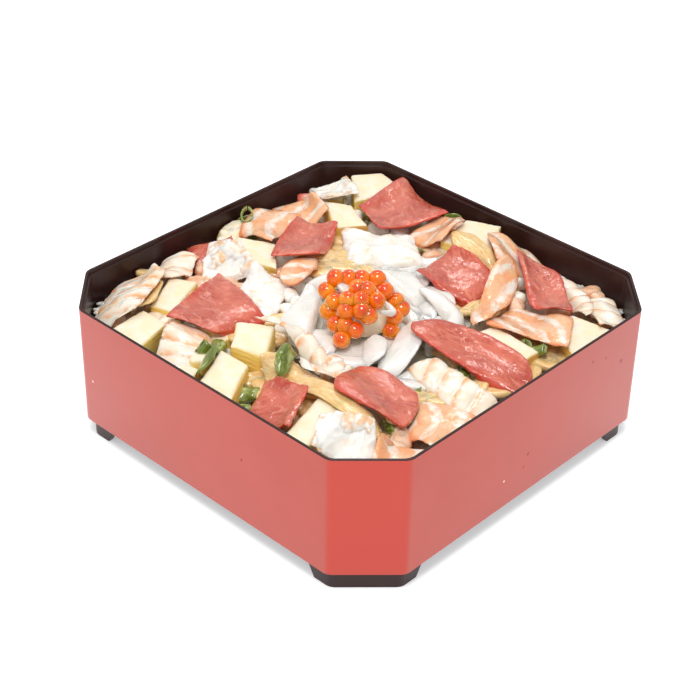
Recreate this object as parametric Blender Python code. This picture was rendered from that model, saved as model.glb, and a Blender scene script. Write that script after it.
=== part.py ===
"""Takeaway box of scattered sushi: a square lacquered box with cut corners, a bed of rice, and fish,
shrimp, egg, squid, gourd strips and spring onion laid on it, with a heap of salmon roe in the middle.

Lengths below are millimetres; every mesh is scaled to metres as it is finished. +Z is up and the
origin is on the table under the middle of the box. The walls face -X, +X, -Y and +Y.
"""

import math

import bmesh
import bpy
import numpy as np
from mathutils import Matrix, Vector, noise
from mathutils.bvhtree import BVHTree

# Box
HALF_WIDTH = 82.5  # to the outer face of a wall
CORNER_CUT = 19.1  # length that each cut corner takes off a side
CORNER_ROUND = 1.6
RIM_HEIGHT = 57.0
WALL_BOTTOM = 8.0
WALL = 2.0
FLOOR = 2.0
RIM_STEP_WIDTH = 0.9  # ledge inside the rim that a lid sits in
RIM_STEP_DEPTH = 1.6
FOOT_INSET = 2.7
FOOT_WALL = 2.5
FOOT_SKIRT_TOP = 5.0  # underside of the shallow stretch between the corner legs
FOOT_GAP_TOP = 7.6  # underside over the open stretch in the middle of a side
LEG_END_LOW = 55.4  # where a corner leg ends, from the middle of the side
LEG_END_HIGH = 52.0
FOOT_GAP_HALF = 24.0
CHAMFER_SHARE = 2.0 - math.sqrt(2.0)  # how much a cut corner shortens for each mm of inset

# Rice
RICE_EDGE_TOP = 43.0
RICE_MOUND = 3.5
RICE_MOUND_SPREAD = 36.0
RICE_BUMP = 0.9
RICE_GRAIN = 6.0
RICE_CELLS = 22

# Places of the food
FOOD_EDGE_TOP = 52.5  # what the food is pressed down to beside the walls, and in the middle
FOOD_MIDDLE_TOP = 57.0
THINNEST = 2.0  # what a piece keeps of its thickness where it lies on others
PRESSED = {"gourd": -5.0, "onion": -3.0, "white": -1.5, "salmon": -2.0, "shrimp": -1.0, "squid": -1.0,
           "tuna": 0.0}  # how far each kind of food is pressed below the general level
GAP = 0.3  # clear space between two pieces
WALL_CLEARANCE = 0.6  # food to the inner face of the box
READ_HEIGHT = 56.0  # places are given where a slanting line of sight meets this height
SHOWN_ABOVE = 1.2  # tops of the pieces over the level that the food is pressed down to
LEAN = Vector((-1.05, 1.05))  # and move this far along the line of sight for each mm below it
CELL = 1.0  # spacing of the height map
MAP_HALF = 84
ROUGH_SIZE = 5.0  # size of the bumps on chopped pieces
RING_STEPS = 12
SAMPLES = 6  # places looked at along each side of a cell when a piece settles
SETTLING = 10
SINK = 0.6  # share of the free fall that a crossing takes at each turn
BRIDGING = 2
LAST_SQUID = "squid_7"

# Roe
ROE_PLACE = (9.5, -9.5)
ROE_RADIUS = 3.45
ROE_LEVEL = 54.5  # height of the middle of the dome that the eggs' middles lie on
ROE_DOME = 12.5  # radius of that dome
ROE_CORE_INSET = 1.0
ROE_CORE_RISE = 14.0
ROE_SPOTS = 46  # places tried for eggs on the far side
ROE_CROWDING = 5.6  # least distance between the middles of two eggs there
ROE_FAR_SIDE = 0.1
ROE_MAX_LIFT = 3.5
ROE_LEAN = Vector((-1.05, 1.15))
TO_CAMERA = Vector((0.565, -0.607, 0.559))
# middles of the eggs that are seen, where the line of sight meets READ_HEIGHT
ROE_EGGS = (
    (-13, 0.5), (-9.5, -8), (-9.5, 4), (-6, 7), (-2, 11), (-2.5, 1), (1, 2.5), (5.5, 7), (-2.5, -11.5),
    (0.5, -7), (4, -4), (8, 0), (13, 5), (0.5, -17.5), (5, -13), (9, -9), (13, -9.5), (8.5, -22),
    (16, -20), (17, -28), (20, -3.5), (18, 2.5), (25.5, -11), (11.5, -20),
)

COLOURS = {
    "lacquer": (0.62, 0.11, 0.08), "rice": (0.86, 0.84, 0.78), "tuna": (0.62, 0.16, 0.14),
    "salmon": (0.93, 0.55, 0.33), "shrimp": (0.93, 0.78, 0.66), "white": (0.92, 0.90, 0.87),
    "egg": (0.95, 0.86, 0.55), "squid": (0.88, 0.87, 0.84), "gourd": (0.66, 0.50, 0.22),
    "onion": (0.25, 0.40, 0.10), "roe": (0.90, 0.28, 0.04),
}
GLOSSY_SLOTS = ("lacquer", "roe", "squid")
GLOSSY = 0.25
MOIST = 0.45

# Food, lowest first. Corners run round the piece: two at the near end of its length, two at the far.
# kind, name, corners or spine, thickness, then what is special about the piece
FOOD = (
    # blocks of rolled egg, which stand on the rice
    ("block", "egg_1", ((-68, 66), (-60, 77), (-44, 73), (-50, 49)), 9.5, {}),
    ("block", "egg_2", ((-62, 43), (-51, 49), (-34, 41), (-42, 29)), 8.5, {}),
    ("block", "egg_3", ((-66, -2), (-50, 5), (-35, -9), (-52, -14)), 8.5, {}),
    ("block", "egg_4", ((-61, -41), (-50, -36), (-40, -57), (-51, -60)), 8.5, {}),
    ("block", "egg_5", ((-50, -64), (-36, -64), (-31, -82.5), (-48, -82.5)), 9.0, {}),
    ("block", "egg_6", ((-9, -63.5), (6, -63.5), (17, -82.5), (0, -82.5)), 10.5, {}),
    ("block", "egg_7", ((-17, -48), (-4, -40), (9, -57), (-7, -60)), 12.0, {}),
    ("block", "egg_8", ((33, -52), (46, -56), (53, -82.5), (42, -82.5)), 9.5, {}),
    ("block", "egg_9", ((46, 11), (48, 21), (70, 20), (70, 10)), 8.0, {}),
    ("block", "egg_10", ((66, 33), (64, 46), (82.5, 49), (82.5, 24)), 9.0, {}),
    ("block", "egg_11", ((-9, 75), (4, 82), (18, 58), (-5, 54)), 9.5, {}),
    # gourd strips and onion, low in the gaps
    ("ribbon", "gourd_1", ((8, -60), (30, -53), (64, -57)), 5.5, {"width": 14}),
    ("ribbon", "gourd_2", ((-62, -47), (-56, -57), (-50, -66)), 5.0, {"width": 11}),
    ("ribbon", "gourd_3", ((-4, 57), (14, 53), (31, 45)), 6.0, {"width": 12}),
    ("ring", "onion_1", (-14, 70), 6.0, {"radius": 4.4, "hole": 2.8, "height": 51}),
    ("ring", "onion_2", (-71, 10), 7.0, {"radius": 5.6, "hole": 3.9, "height": 53}),
    ("ribbon", "onion_3", ((11, -46), (14, -53), (18, -60)), 6.5, {"width": 6}),
    ("ribbon", "onion_4", ((42, -14), (50, -13), (60, -13)), 7.0, {"width": 9}),
    ("ribbon", "onion_5", ((-15, -61), (-8, -70), (-2, -82.5)), 7.0, {"width": 6}),
    # chopped shrimp and white fish
    ("slice", "tuna_9", ((-79, -17), (-68, -2), (-56, -12), (-68, -31)), 6.0, {"round": 0.2}),
    ("lump", "white_1", ((-80, 50), (-70, 64), (-51, 53), (-62, 39)), 10.0, {"pressed": 0.5}),
    ("lump", "white_2", ((-69, -14), (-57, -7), (-38, -14), (-56, -31)), 10.0, {}),
    ("lump", "white_3", ((-44, -13), (-28, -6), (-17, -28), (-38, -32)), 8.5, {}),
    ("lump", "white_4", ((44, -68), (60, -55), (74, -70), (54, -82.5)), 10.5, {}),
    ("shrimp", "shrimp_1", ((-76, -24), (-70, -33), (-61, -44)), 9.5, {"width": 17, "tail": 0.8}),
    ("shrimp", "shrimp_2", ((-76, -48), (-68, -64), (-57, -82.5)), 10.5, {"width": 23, "tail": 0.9}),
    ("lump", "shrimp_4", ((42, -21), (47, -10), (82.5, -11), (82.5, -30)), 9.0, {"rough": 0.9}),
    ("lump", "shrimp_7", ((56, 63), (64, 73), (82.5, 58), (78, 44)), 9.0, {"rough": 0.9}),
    # slices and pieces over them
    ("slice", "salmon_1", ((-79, 28), (-72, 43), (-50, 37), (-54, 22)), 6.5, {"round": 0.3}),
    ("slice", "salmon_2", ((-80, 23), (-60, 30), (-49, 1), (-70, 1)), 6.5, {"round": 0.2}),
    ("slice", "salmon_3", ((66, -61), (82, -47), (82.5, -66), (74, -76)), 8.0, {"round": 0.2}),
    ("slice", "salmon_4", ((56, -30), (82.5, -25), (82.5, -51), (66, -49)), 7.5, {"round": 0.2}),
    ("slice", "salmon_5", ((40, 41), (68, 43), (79, 25), (46, 16)), 6.5, {"round": 0.15}),
    ("slice", "salmon_6", ((-26, 70), (-5, 68), (-1, 48), (-23, 47)), 6.5, {"round": 0.25}),
    ("slice", "salmon_7", ((5, 67), (18, 80), (48, 67), (22, 52)), 6.0, {"round": 0.2}),
    ("shrimp", "shrimp_3", ((-31, -56), (-25, -68), (-17, -82.5)), 9.0, {"width": 19, "tail": 0.9}),
    ("slice", "white_5", ((-43, 32), (-19, 51), (1, 38), (-23, 15)), 9.0, {"round": 0.2, "pressed": 0.5}),
    # squid round the roe
    ("slice", "squid_4", ((-21, 2), (2, 25), (36, -9), (11, -34)), 2.6, {"round": 0.6}),
    ("ribbon", "squid_1", ((-7, 18), (-20, 7), (-21, -7)), 8.5, {"width": 9}),
    ("slice", "squid_2", ((-21, -7), (-14, -34), (6, -33), (-13, -6)), 8.0, {"round": 0.3}),
    ("slice", "squid_3", ((-8, 17), (-4, 32), (19, 23), (16, 12)), 9.0, {"round": 0.3}),
    ("ribbon", "squid_5", ((13, 18), (32, 17), (36, -4)), 9.5, {"width": 9, "pressed": 0.5}),
    ("ribbon", "squid_6", ((24, 4), (33, -12), (37, -29)), 8.5, {"width": 12}),
    ("ribbon", "squid_7", ((20, -14), (25, -19), (31, -27)), 6.0, {"width": 9}),
    # top layer
    ("slice", "salmon_9", ((-44, 9), (-31, 14), (-18, -12), (-32, -15)), 7.0, {"round": 0.8, "pressed": 0.5}),
    ("shrimp", "shrimp_5", ((20, -39), (3, -35), (-13, -43)), 6.5, {"width": 11, "tail": 0.5}),
    ("shrimp", "shrimp_6", ((28, -32), (27, -42), (17, -50)), 6.5, {"width": 11, "tail": 0.7}),
    ("slice", "tuna_1", ((-50, 82), (-16, 74), (-27, 43), (-46, 50)), 5.0, {"round": 0.1}),
    ("slice", "tuna_2", ((-60, 26), (-42, 33), (-28, 8), (-42, -8)), 5.0, {"round": 0.2}),
    ("slice", "tuna_3", ((-52, -24), (-15, -33), (-21, -54), (-38, -64)), 5.5, {"round": 0.1}),
    ("slice", "tuna_4", ((14, -64), (33, -60), (43, -80), (21, -82.5)), 6.0, {"round": 0.1}),
    ("slice", "tuna_5", ((34, -8), (58, 2), (82.5, 0)), 6.0, {"width": 20, "blunt": 2.2}),
    ("slice", "tuna_6", ((29, -33), (57, -27), (70, -50), (37, -58)), 6.0, {"round": 0.6}),
    ("slice", "tuna_7", ((0, 51), (26, 51), (30, 30), (2, 25)), 5.5, {"round": 0.35}),
    ("shrimp", "salmon_8", ((25, 57), (36, 35), (44, 14)), 6.0, {"width": 13, "tail": 0.8}),
    ("shrimp", "shrimp_8", ((42, 69), (56, 60), (71, 47)), 6.5, {"width": 10, "tail": 0.8}),
    ("slice", "tuna_8", ((20, 66), (43, 67), (67, 44), (50, 39)), 5.5, {"round": 0.2}),
)


# Scene and materials


def clear_scene():
    for item in list(bpy.data.objects):
        bpy.data.objects.remove(item)


def new_collection(name):
    group = bpy.data.collections.new(name)
    bpy.context.scene.collection.children.link(group)
    return group


def slot_of(name):
    return name.rstrip("0123456789").rstrip("_")


def make_material(name):
    known = bpy.data.materials.get(name)
    if known:
        return known
    material = bpy.data.materials.new(name)
    material.use_nodes = True
    shader = material.node_tree.nodes["Principled BSDF"]
    shader.inputs["Base Color"].default_value = (*COLOURS[name], 1.0)
    shader.inputs["Roughness"].default_value = GLOSSY if name in GLOSSY_SLOTS else MOIST
    return material


def finish_mesh(bm, name, material, group):
    """Turns a bmesh in millimetres into an object in metres."""
    bmesh.ops.recalc_face_normals(bm, faces=bm.faces)
    if bm.calc_volume(signed=True) < 0:
        bmesh.ops.reverse_faces(bm, faces=bm.faces)
    bmesh.ops.scale(bm, vec=(0.001,) * 3, verts=bm.verts)
    mesh = bpy.data.meshes.new(name)
    bm.to_mesh(mesh)
    bm.free()
    mesh.materials.append(make_material(material))
    mesh.shade_smooth()
    mesh.set_sharp_from_angle(angle=math.radians(40))
    item = bpy.data.objects.new(name, mesh)
    group.objects.link(item)
    return item


def applied(item, group):
    """Replaces an object by its evaluated mesh, so that it can be a cutter or lose its modifiers."""
    seen = item.evaluated_get(bpy.context.evaluated_depsgraph_get())
    mesh = bpy.data.meshes.new_from_object(seen)
    name = item.name
    bpy.data.objects.remove(item)
    fresh = bpy.data.objects.new(name, mesh)
    group.objects.link(fresh)
    return fresh


def islands(bm):
    """The vertices of each connected shell."""
    left = set(bm.verts)
    while left:
        shell, front = set(), [left.pop()]
        while front:
            vert = front.pop()
            shell.add(vert)
            near = {e.other_vert(vert) for e in vert.link_edges} & left
            left -= near
            front.extend(near)
        yield shell


def keep_outer_shell(mesh):
    """Fills hollows that a union sealed and drops scraps, by keeping the largest shell."""
    bm = bmesh.new()
    bm.from_mesh(mesh)
    shells = sorted(islands(bm), key=len)
    for shell in shells[:-1]:
        bmesh.ops.delete(bm, geom=list(shell), context="VERTS")
    bm.to_mesh(mesh)
    bm.free()


def combine(item, other, operation):
    modifier = item.modifiers.new(operation.lower(), "BOOLEAN")
    modifier.operation = operation
    modifier.solver = "EXACT"
    modifier.object = other


# Box


def eight_sided_block(name, inset, low, high, group):
    """An upright block with the box's outline, inset all round."""
    half = HALF_WIDTH - inset
    bm = bmesh.new()
    bmesh.ops.create_cube(bm, size=1.0)
    bmesh.ops.scale(bm, vec=(2 * half, 2 * half, high - low), verts=bm.verts)
    bmesh.ops.translate(bm, vec=(0, 0, (low + high) / 2), verts=bm.verts)
    for offset, segments in ((CORNER_CUT - inset * CHAMFER_SHARE, 1), (CORNER_ROUND, 2)):
        upright = [e for e in bm.edges if abs(e.verts[0].co.z - e.verts[1].co.z) > 1.0]
        bmesh.ops.bevel(bm, geom=upright, offset=offset, segments=segments, profile=0.5,
                        affect="EDGES", offset_type="OFFSET")
    return finish_mesh(bm, name, "lacquer", group)


def notch_cutter(name, turn, group):
    """Cuts the foot of two opposite sides: legs at the corners, a shallow skirt, an open middle."""
    outline = ((LEG_END_LOW, -1.0), (LEG_END_HIGH, FOOT_SKIRT_TOP), (FOOT_GAP_HALF, FOOT_SKIRT_TOP),
               (FOOT_GAP_HALF, FOOT_GAP_TOP))
    outline = outline + tuple((-x, z) for x, z in reversed(outline))
    bm = bmesh.new()
    corners = [bm.verts.new((x, -HALF_WIDTH, z)) for x, z in outline]
    face = bm.faces.new(corners)
    swept = bmesh.ops.extrude_face_region(bm, geom=[face])["geom"]
    moved = [v for v in swept if isinstance(v, bmesh.types.BMVert)]
    bmesh.ops.translate(bm, vec=(0, 2 * HALF_WIDTH, 0), verts=moved)
    bmesh.ops.rotate(bm, cent=(0, 0, 0), matrix=Matrix.Rotation(turn, 3, "Z"), verts=bm.verts)
    return finish_mesh(bm, name, "lacquer", group)


def make_box(parts, cutters):
    foot = eight_sided_block("foot", FOOT_INSET, 0.0, WALL_BOTTOM + 0.4, cutters)
    for index, turn in enumerate((0.0, math.pi / 2)):
        combine(foot, notch_cutter(f"notch_{index}", turn, cutters), "DIFFERENCE")
    hollow = eight_sided_block("foot_hollow", FOOT_INSET + FOOT_WALL, -1.0, WALL_BOTTOM + 1, cutters)
    combine(foot, hollow, "DIFFERENCE")
    foot = applied(foot, cutters)
    box = eight_sided_block("box", 0.0, WALL_BOTTOM, RIM_HEIGHT, parts)
    inside = eight_sided_block("inside", WALL, WALL_BOTTOM + FLOOR, RIM_HEIGHT + 5, cutters)
    step = eight_sided_block("rim_step", WALL - RIM_STEP_WIDTH, RIM_HEIGHT - RIM_STEP_DEPTH,
                             RIM_HEIGHT + 5, cutters)
    combine(box, foot, "UNION")
    combine(box, inside, "DIFFERENCE")
    combine(box, step, "DIFFERENCE")
    return applied(box, parts)


def overhang(x, y, margin):
    """How far a point lies outside the inner walls, and the way back, as a vector."""
    half = HALF_WIDTH - WALL - margin
    reach = (2 * HALF_WIDTH - CORNER_CUT) / math.sqrt(2.0) - WALL - margin
    worst, way = 0.0, Vector((0.0, 0.0))
    for index in range(8):
        angle = index * math.pi / 4
        normal = Vector((math.cos(angle), math.sin(angle)))
        out = normal.dot((x, y)) - (reach if index % 2 else half)
        if out > worst:
            worst, way = out, -normal * out
    return way


# Height map of what is in the box so far


class Pile:
    def __init__(self):
        self.places = np.arange(-MAP_HALF, MAP_HALF + CELL, CELL)
        self.height = np.array([[rice_height(x, y) for y in self.places] for x in self.places])
        self.widen()

    def widen(self):
        """The highest point within one cell, which makes up for the map's coarseness."""
        padded = np.pad(self.height, 1, mode="edge")
        rows, columns = self.height.shape
        shifts = [padded[i:i + rows, j:j + columns] for i in range(3) for j in range(3)]
        self.wide = np.max(shifts, axis=0)

    def above(self, x, y):
        i = np.clip(np.rint((np.asarray(x) + MAP_HALF) / CELL).astype(int), 0, len(self.places) - 1)
        j = np.clip(np.rint((np.asarray(y) + MAP_HALF) / CELL).astype(int), 0, len(self.places) - 1)
        return self.wide[i, j]

    def add(self, bm):
        """Raises the map to the top of a finished piece."""
        tree = BVHTree.FromBMesh(bm)
        low = [min(v.co[k] for v in bm.verts) for k in range(2)]
        high = [max(v.co[k] for v in bm.verts) for k in range(2)]
        for i in self.cells(low[0], high[0]):
            for j in self.cells(low[1], high[1]):
                start = Vector((self.places[i], self.places[j], 200.0))
                hit = tree.ray_cast(start, Vector((0, 0, -1)))[0]
                if hit is not None:
                    self.height[i, j] = max(self.height[i, j], hit.z)
        self.widen()

    def cells(self, low, high):
        first = math.floor((low + MAP_HALF) / CELL)
        last = math.ceil((high + MAP_HALF) / CELL)
        return range(max(first, 0), min(last, len(self.places) - 1) + 1)


# Outlines: each takes u along the piece and v across it, both from -1 to 1


def corner_outline(corners, rounding):
    points = [Vector(c) for c in corners]

    def place(u, v):
        a = u * math.sqrt(1 - rounding * v * v / 2)
        b = v * math.sqrt(1 - rounding * u * u / 2)
        near = points[0].lerp(points[3], (b + 1) / 2)
        far = points[1].lerp(points[2], (b + 1) / 2)
        return near.lerp(far, (a + 1) / 2)

    return place


def spine_outline(spine, width, tail, bluntness):
    start, middle, end = (Vector(p) for p in spine)
    control = middle * 2 - (start + end) / 2

    def place(u, v):
        t = (u + 1) / 2
        along = start * (1 - t) ** 2 + control * 2 * t * (1 - t) + end * t * t
        way = ((control - start) * (1 - t) + (end - control) * t).normalized()
        across = Vector((-way.y, way.x))
        blunt = math.sqrt(max(1 - abs(u) ** bluntness, 0.0)) * 0.75 + 0.25
        return along + across * (v * width / 2 * blunt * (1 + (tail - 1) * t))

    return place


# Thickness over the piece, as a share of its full thickness


def slice_profile(u, v):
    edge = max(abs(u), abs(v))
    return 1.0 - 0.42 * edge ** 8


def lump_profile(u, v):
    return 0.45 + 0.55 * math.sqrt((1 - 0.8 * u * u) * (1 - 0.9 * v * v))


def shrimp_profile(u, v):
    ends = math.sqrt(max(1 - 0.75 * abs(u) ** 3, 0.0))
    return (0.30 + 0.70 * math.sqrt(max(1 - v * v, 0.0))) * ends


def ribbon_profile(u, v):
    return 0.55 + 0.45 * math.sqrt(max(1 - v * v, 0.0))


def block_profile(u, v):
    return 0.92 if max(abs(u), abs(v)) > 0.99 else 1.0


def core_profile(u, v):
    away = min(math.hypot(*disc_place(u, v)), 1.0)
    return 0.25 + 0.75 * math.sqrt(1 - away * away)


def disc_place(u, v):
    return u * math.sqrt(1 - v * v / 2), v * math.sqrt(1 - u * u / 2)


KINDS = {
    # cells along and across, how stiff the piece is, crowding of cells at the edge, thickness, slot
    "slice": (6, 5, 0.12, 0.70, slice_profile),
    "lump": (6, 5, 0.20, 0.85, lump_profile),
    "shrimp": (8, 4, 0.15, 0.90, shrimp_profile),
    "ribbon": (7, 3, 0.15, 1.00, ribbon_profile),
    "block": (3, 3, 1.00, 0.12, block_profile),
    "core": (6, 6, 0.50, 0.90, core_profile),
}
UNPRESSED = ("block", "core")


def crowd(value, power):
    return math.copysign(abs(value) ** power, value)


def slab(cells_u, cells_v):
    """A flat closed slab, and for each of its vertices the line along, the line across and the side."""
    bm = bmesh.new()
    bmesh.ops.create_grid(bm, x_segments=cells_u, y_segments=cells_v, size=1.0)
    swept = bmesh.ops.extrude_face_region(bm, geom=list(bm.faces))["geom"]
    tops = {v for v in swept if isinstance(v, bmesh.types.BMVert)}
    marks = []
    for vert in bm.verts:
        i = round((vert.co.x + 1) / 2 * cells_u)
        j = round((vert.co.y + 1) / 2 * cells_v)
        marks.append((vert, i, j, vert in tops))
    spots = {vert: (i, j) for vert, i, j, _ in marks}
    for face in list(bm.faces):
        ends = sorted(face.verts, key=lambda vert: sum(spots[vert]))
        if spots[ends[0]][0] < spots[ends[-1]][0] and spots[ends[0]][1] < spots[ends[-1]][1]:
            bmesh.utils.face_split(face, ends[0], ends[-1])
    return bm, marks


def triangle_samples(rows, columns):
    """Places spread over the triangles of a sheet: the three crossings round each, and their shares."""
    steps = np.linspace(0.0, 1.0, SAMPLES)
    crossings, shares = [], []
    for i in range(rows - 1):
        for j in range(columns - 1):
            near, far = i * columns + j, (i + 1) * columns + j + 1
            for a in steps:
                for b in steps:
                    side = (i + 1) * columns + j if a >= b else i * columns + j + 1
                    crossings.append((near, side, far))
                    shares.append((1 - max(a, b), abs(a - b), min(a, b)))
    return np.array(crossings), np.array(shares)


def surface_below(pile, points, stiffness):
    """Heights of a piece's underside, one for each crossing of its lines, clear of what is below."""
    rows, columns = points.shape[:2]
    flat = points.reshape(-1, 2)
    crossings, shares = triangle_samples(rows, columns)
    spots = (flat[crossings] * shares[..., None]).sum(axis=1)
    needed = pile.above(spots[:, 0], spots[:, 1]) + GAP
    low = np.full(len(flat), -np.inf)
    for corner in range(3):
        touched = shares[:, corner] > 0
        np.maximum.at(low, crossings[touched, corner], needed[touched])
    # start as high as any neighbour and sink as far as what is below allows
    classes = np.array([(k // columns) % 2 * 2 + (k % columns) % 2 for k in range(len(flat))])
    for turn in range(SETTLING):
        for group in range(4):
            limit = np.full(len(flat), -np.inf)
            for corner in range(3):
                touched = (classes[crossings[:, corner]] == group) & (shares[:, corner] > 1e-6)
                own = shares[touched, corner]
                rest = (low[crossings[touched]] * shares[touched]).sum(axis=1)
                rest -= low[crossings[touched, corner]] * own
                np.maximum.at(limit, crossings[touched, corner], (needed[touched] - rest) / own)
            members = classes == group
            low[members] += (limit[members] - low[members]) * SINK
    low = low.reshape(rows, columns)
    for _ in range(BRIDGING):
        padded = np.pad(low, 1, mode="edge")
        mean = (padded[:-2, 1:-1] + padded[2:, 1:-1] + padded[1:-1, :-2] + padded[1:-1, 2:]) / 4
        low = np.maximum(low, mean)
    columns_of_fit = np.column_stack([flat, np.ones(len(flat))])
    fit = np.linalg.lstsq(columns_of_fit, low.ravel(), rcond=None)[0]
    plane = (columns_of_fit @ fit).reshape(low.shape)
    plane += (low - plane).max()
    return low + (plane - low) * stiffness


def outline_of(where, shift, special):
    moved = [Vector(p) + shift for p in where]
    if len(where) == 4:
        return corner_outline(moved, special.get("round", 0.05))
    return spine_outline(moved, special["width"], special.get("tail", 1.0), special.get("blunt", 5.0))


def fit_inside(where, shift, special, lines_u, lines_v):
    """Moves a piece off the walls and gives its outline."""
    for _ in range(12):
        place = outline_of(where, shift, special)
        rim = [place(u, v) for u in lines_u for v in lines_v if max(abs(u), abs(v)) > 0.99]
        push = max((overhang(p.x, p.y, WALL_CLEARANCE) for p in rim), key=lambda way: way.length)
        if push.length < 0.02:
            break
        shift = shift + push * 1.01
    return place


def food_top(x, y):
    """The level that the food is pressed down to."""
    share = math.exp(-0.5 * (math.hypot(x, y) / RICE_MOUND_SPREAD) ** 2)
    return FOOD_EDGE_TOP + (FOOD_MIDDLE_TOP - FOOD_EDGE_TOP) * share


def reading_shift(where, special):
    """From where a place is read to where it is, at the height of the food there."""
    middle = sum((Vector(p) for p in where), Vector((0, 0))) / len(where)
    height = special.get("height", food_top(middle.x, middle.y) + SHOWN_ABOVE)
    return LEAN * (READ_HEIGHT - height)


def lay(pile, kind, where, thickness, special):
    """A piece shaped over what is below it, as a bmesh."""
    cells_u, cells_v, stiffness, power, profile = KINDS[kind]
    lines_u = [crowd(2 * i / cells_u - 1, power) for i in range(cells_u + 1)]
    lines_v = [crowd(2 * j / cells_v - 1, power) for j in range(cells_v + 1)]
    shift = reading_shift(where, special)
    place = fit_inside(where, shift, special, lines_u, lines_v)
    points = np.array([[place(u, v) for v in lines_v] for u in lines_u])
    low = surface_below(pile, points, special.get("stiffness", stiffness))
    rough = special.get("rough", 0.5 if kind == "lump" else 0.0)
    pressed = special.get("pressed", 0.0)
    bm, marks = slab(cells_u, cells_v)
    for vert, i, j, on_top in marks:
        u, v = lines_u[i], lines_v[j]
        spot = place(u, v)
        level = low[i, j]
        if on_top:
            room = food_top(spot.x, spot.y) + pressed - level
            full = thickness if kind in UNPRESSED else min(max(room, THINNEST), thickness)
            bump = noise.noise(Vector((spot.x, spot.y, level)) / ROUGH_SIZE) * 2 * rough
            level += full * profile(u, v) + bump
        vert.co = (spot.x, spot.y, level)
    return bm


def lay_ring(pile, centre, thickness, special):
    """A cut ring of onion, lying on what is below it."""
    outer, hole = special["radius"], special["hole"]
    reach = np.arange(-outer, outer + CELL, CELL)
    disc = np.array([(x, y) for x in reach for y in reach if x * x + y * y < outer * outer])
    middle = Vector(centre) + reading_shift((centre,), special)
    for _ in range(4):
        middle = middle + overhang(middle.x, middle.y, outer + WALL_CLEARANCE)
    spots = disc + np.array(middle)
    tops = pile.above(spots[:, 0], spots[:, 1]) + GAP
    flat = np.column_stack([spots, np.ones(len(spots))])
    fit = np.linalg.lstsq(flat, tops, rcond=None)[0]
    fit[2] += (tops - flat @ fit).max()
    bm = bmesh.new()
    corners = [bm.verts.new((x, 0, z)) for x, z in
               ((hole, 0), (outer, 0), (outer, thickness), (hole, thickness))]
    edges = [bm.edges.new((corners[k], corners[(k + 1) % 4])) for k in range(4)]
    bmesh.ops.spin(bm, geom=corners + edges, cent=(0, 0, 0), axis=(0, 0, 1), angle=math.tau,
                   steps=RING_STEPS, use_merge=True)
    for vert in bm.verts:
        x, y = vert.co.x + middle.x, vert.co.y + middle.y
        vert.co = (x, y, vert.co.z + fit[0] * x + fit[1] * y + fit[2])
    return bm


# Heaps


def rice_height(x, y):
    """The highest that the rice can come here: it is mounded towards the middle, with small bumps."""
    far = math.hypot(x, y)
    mound = RICE_MOUND * math.exp(-0.5 * (far / RICE_MOUND_SPREAD) ** 2)
    return RICE_EDGE_TOP + mound + RICE_BUMP


def to_eight_sides(x, y, half):
    """Moves a point of a square of this half width into the box's outline, ring by ring."""
    ring = max(abs(x), abs(y))
    limit = (2 * HALF_WIDTH - CORNER_CUT) / HALF_WIDTH * ring
    across = abs(x) + abs(y)
    if across > limit > 0:
        x, y = x * limit / across, y * limit / across
    return x * half / HALF_WIDTH, y * half / HALF_WIDTH


def make_rice(parts):
    half = HALF_WIDTH - WALL - GAP
    bm = bmesh.new()
    bmesh.ops.create_grid(bm, x_segments=RICE_CELLS, y_segments=RICE_CELLS, size=HALF_WIDTH)
    for vert in bm.verts:
        x, y = to_eight_sides(vert.co.x, vert.co.y, half)
        bump = RICE_BUMP * noise.noise(Vector((x, y, 0)) / RICE_GRAIN)
        vert.co = (x, y, rice_height(x, y) - RICE_BUMP + bump)
    edge = [e for e in bm.edges if e.is_boundary]
    walls = bmesh.ops.extrude_edge_only(bm, edges=edge)["geom"]
    for vert in (v for v in walls if isinstance(v, bmesh.types.BMVert)):
        vert.co.z = WALL_BOTTOM + FLOOR + GAP
    bmesh.ops.holes_fill(bm, edges=[e for e in bm.edges if e.is_boundary], sides=0)
    return finish_mesh(bm, "rice", "rice", parts)


def along_sight(read, height):
    """Where the line of sight through a read place comes to this height."""
    spot = Vector(read) + ROE_LEAN * (READ_HEIGHT - height)
    return Vector((spot.x, spot.y, height))


def on_dome(read):
    """Where that line first meets the heap's dome, or else passes nearest to it."""
    start = Vector(read) + ROE_LEAN * READ_HEIGHT - Vector(ROE_PLACE)
    a = ROE_LEAN.length_squared + 1
    b = start.dot(ROE_LEAN) + ROE_LEVEL
    c = start.length_squared + ROE_LEVEL ** 2 - ROE_DOME ** 2
    return along_sight(read, (b + math.sqrt(max(b * b - a * c, 0.0))) / a)


def clear_height(pile, spot):
    """The lowest that the middle of an egg can come here."""
    ring = [(0, 0)] + [(math.cos(k * math.pi / 4), math.sin(k * math.pi / 4)) for k in range(8)]
    needed = -1e3
    for share in (0.0, 0.5, 0.9):
        drop = math.sqrt(1 - share * share) * ROE_RADIUS
        for a, b in ring:
            below = pile.above(spot.x + a * share * ROE_RADIUS, spot.y + b * share * ROE_RADIUS)
            needed = max(needed, float(below) + GAP + drop)
    return needed


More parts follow.
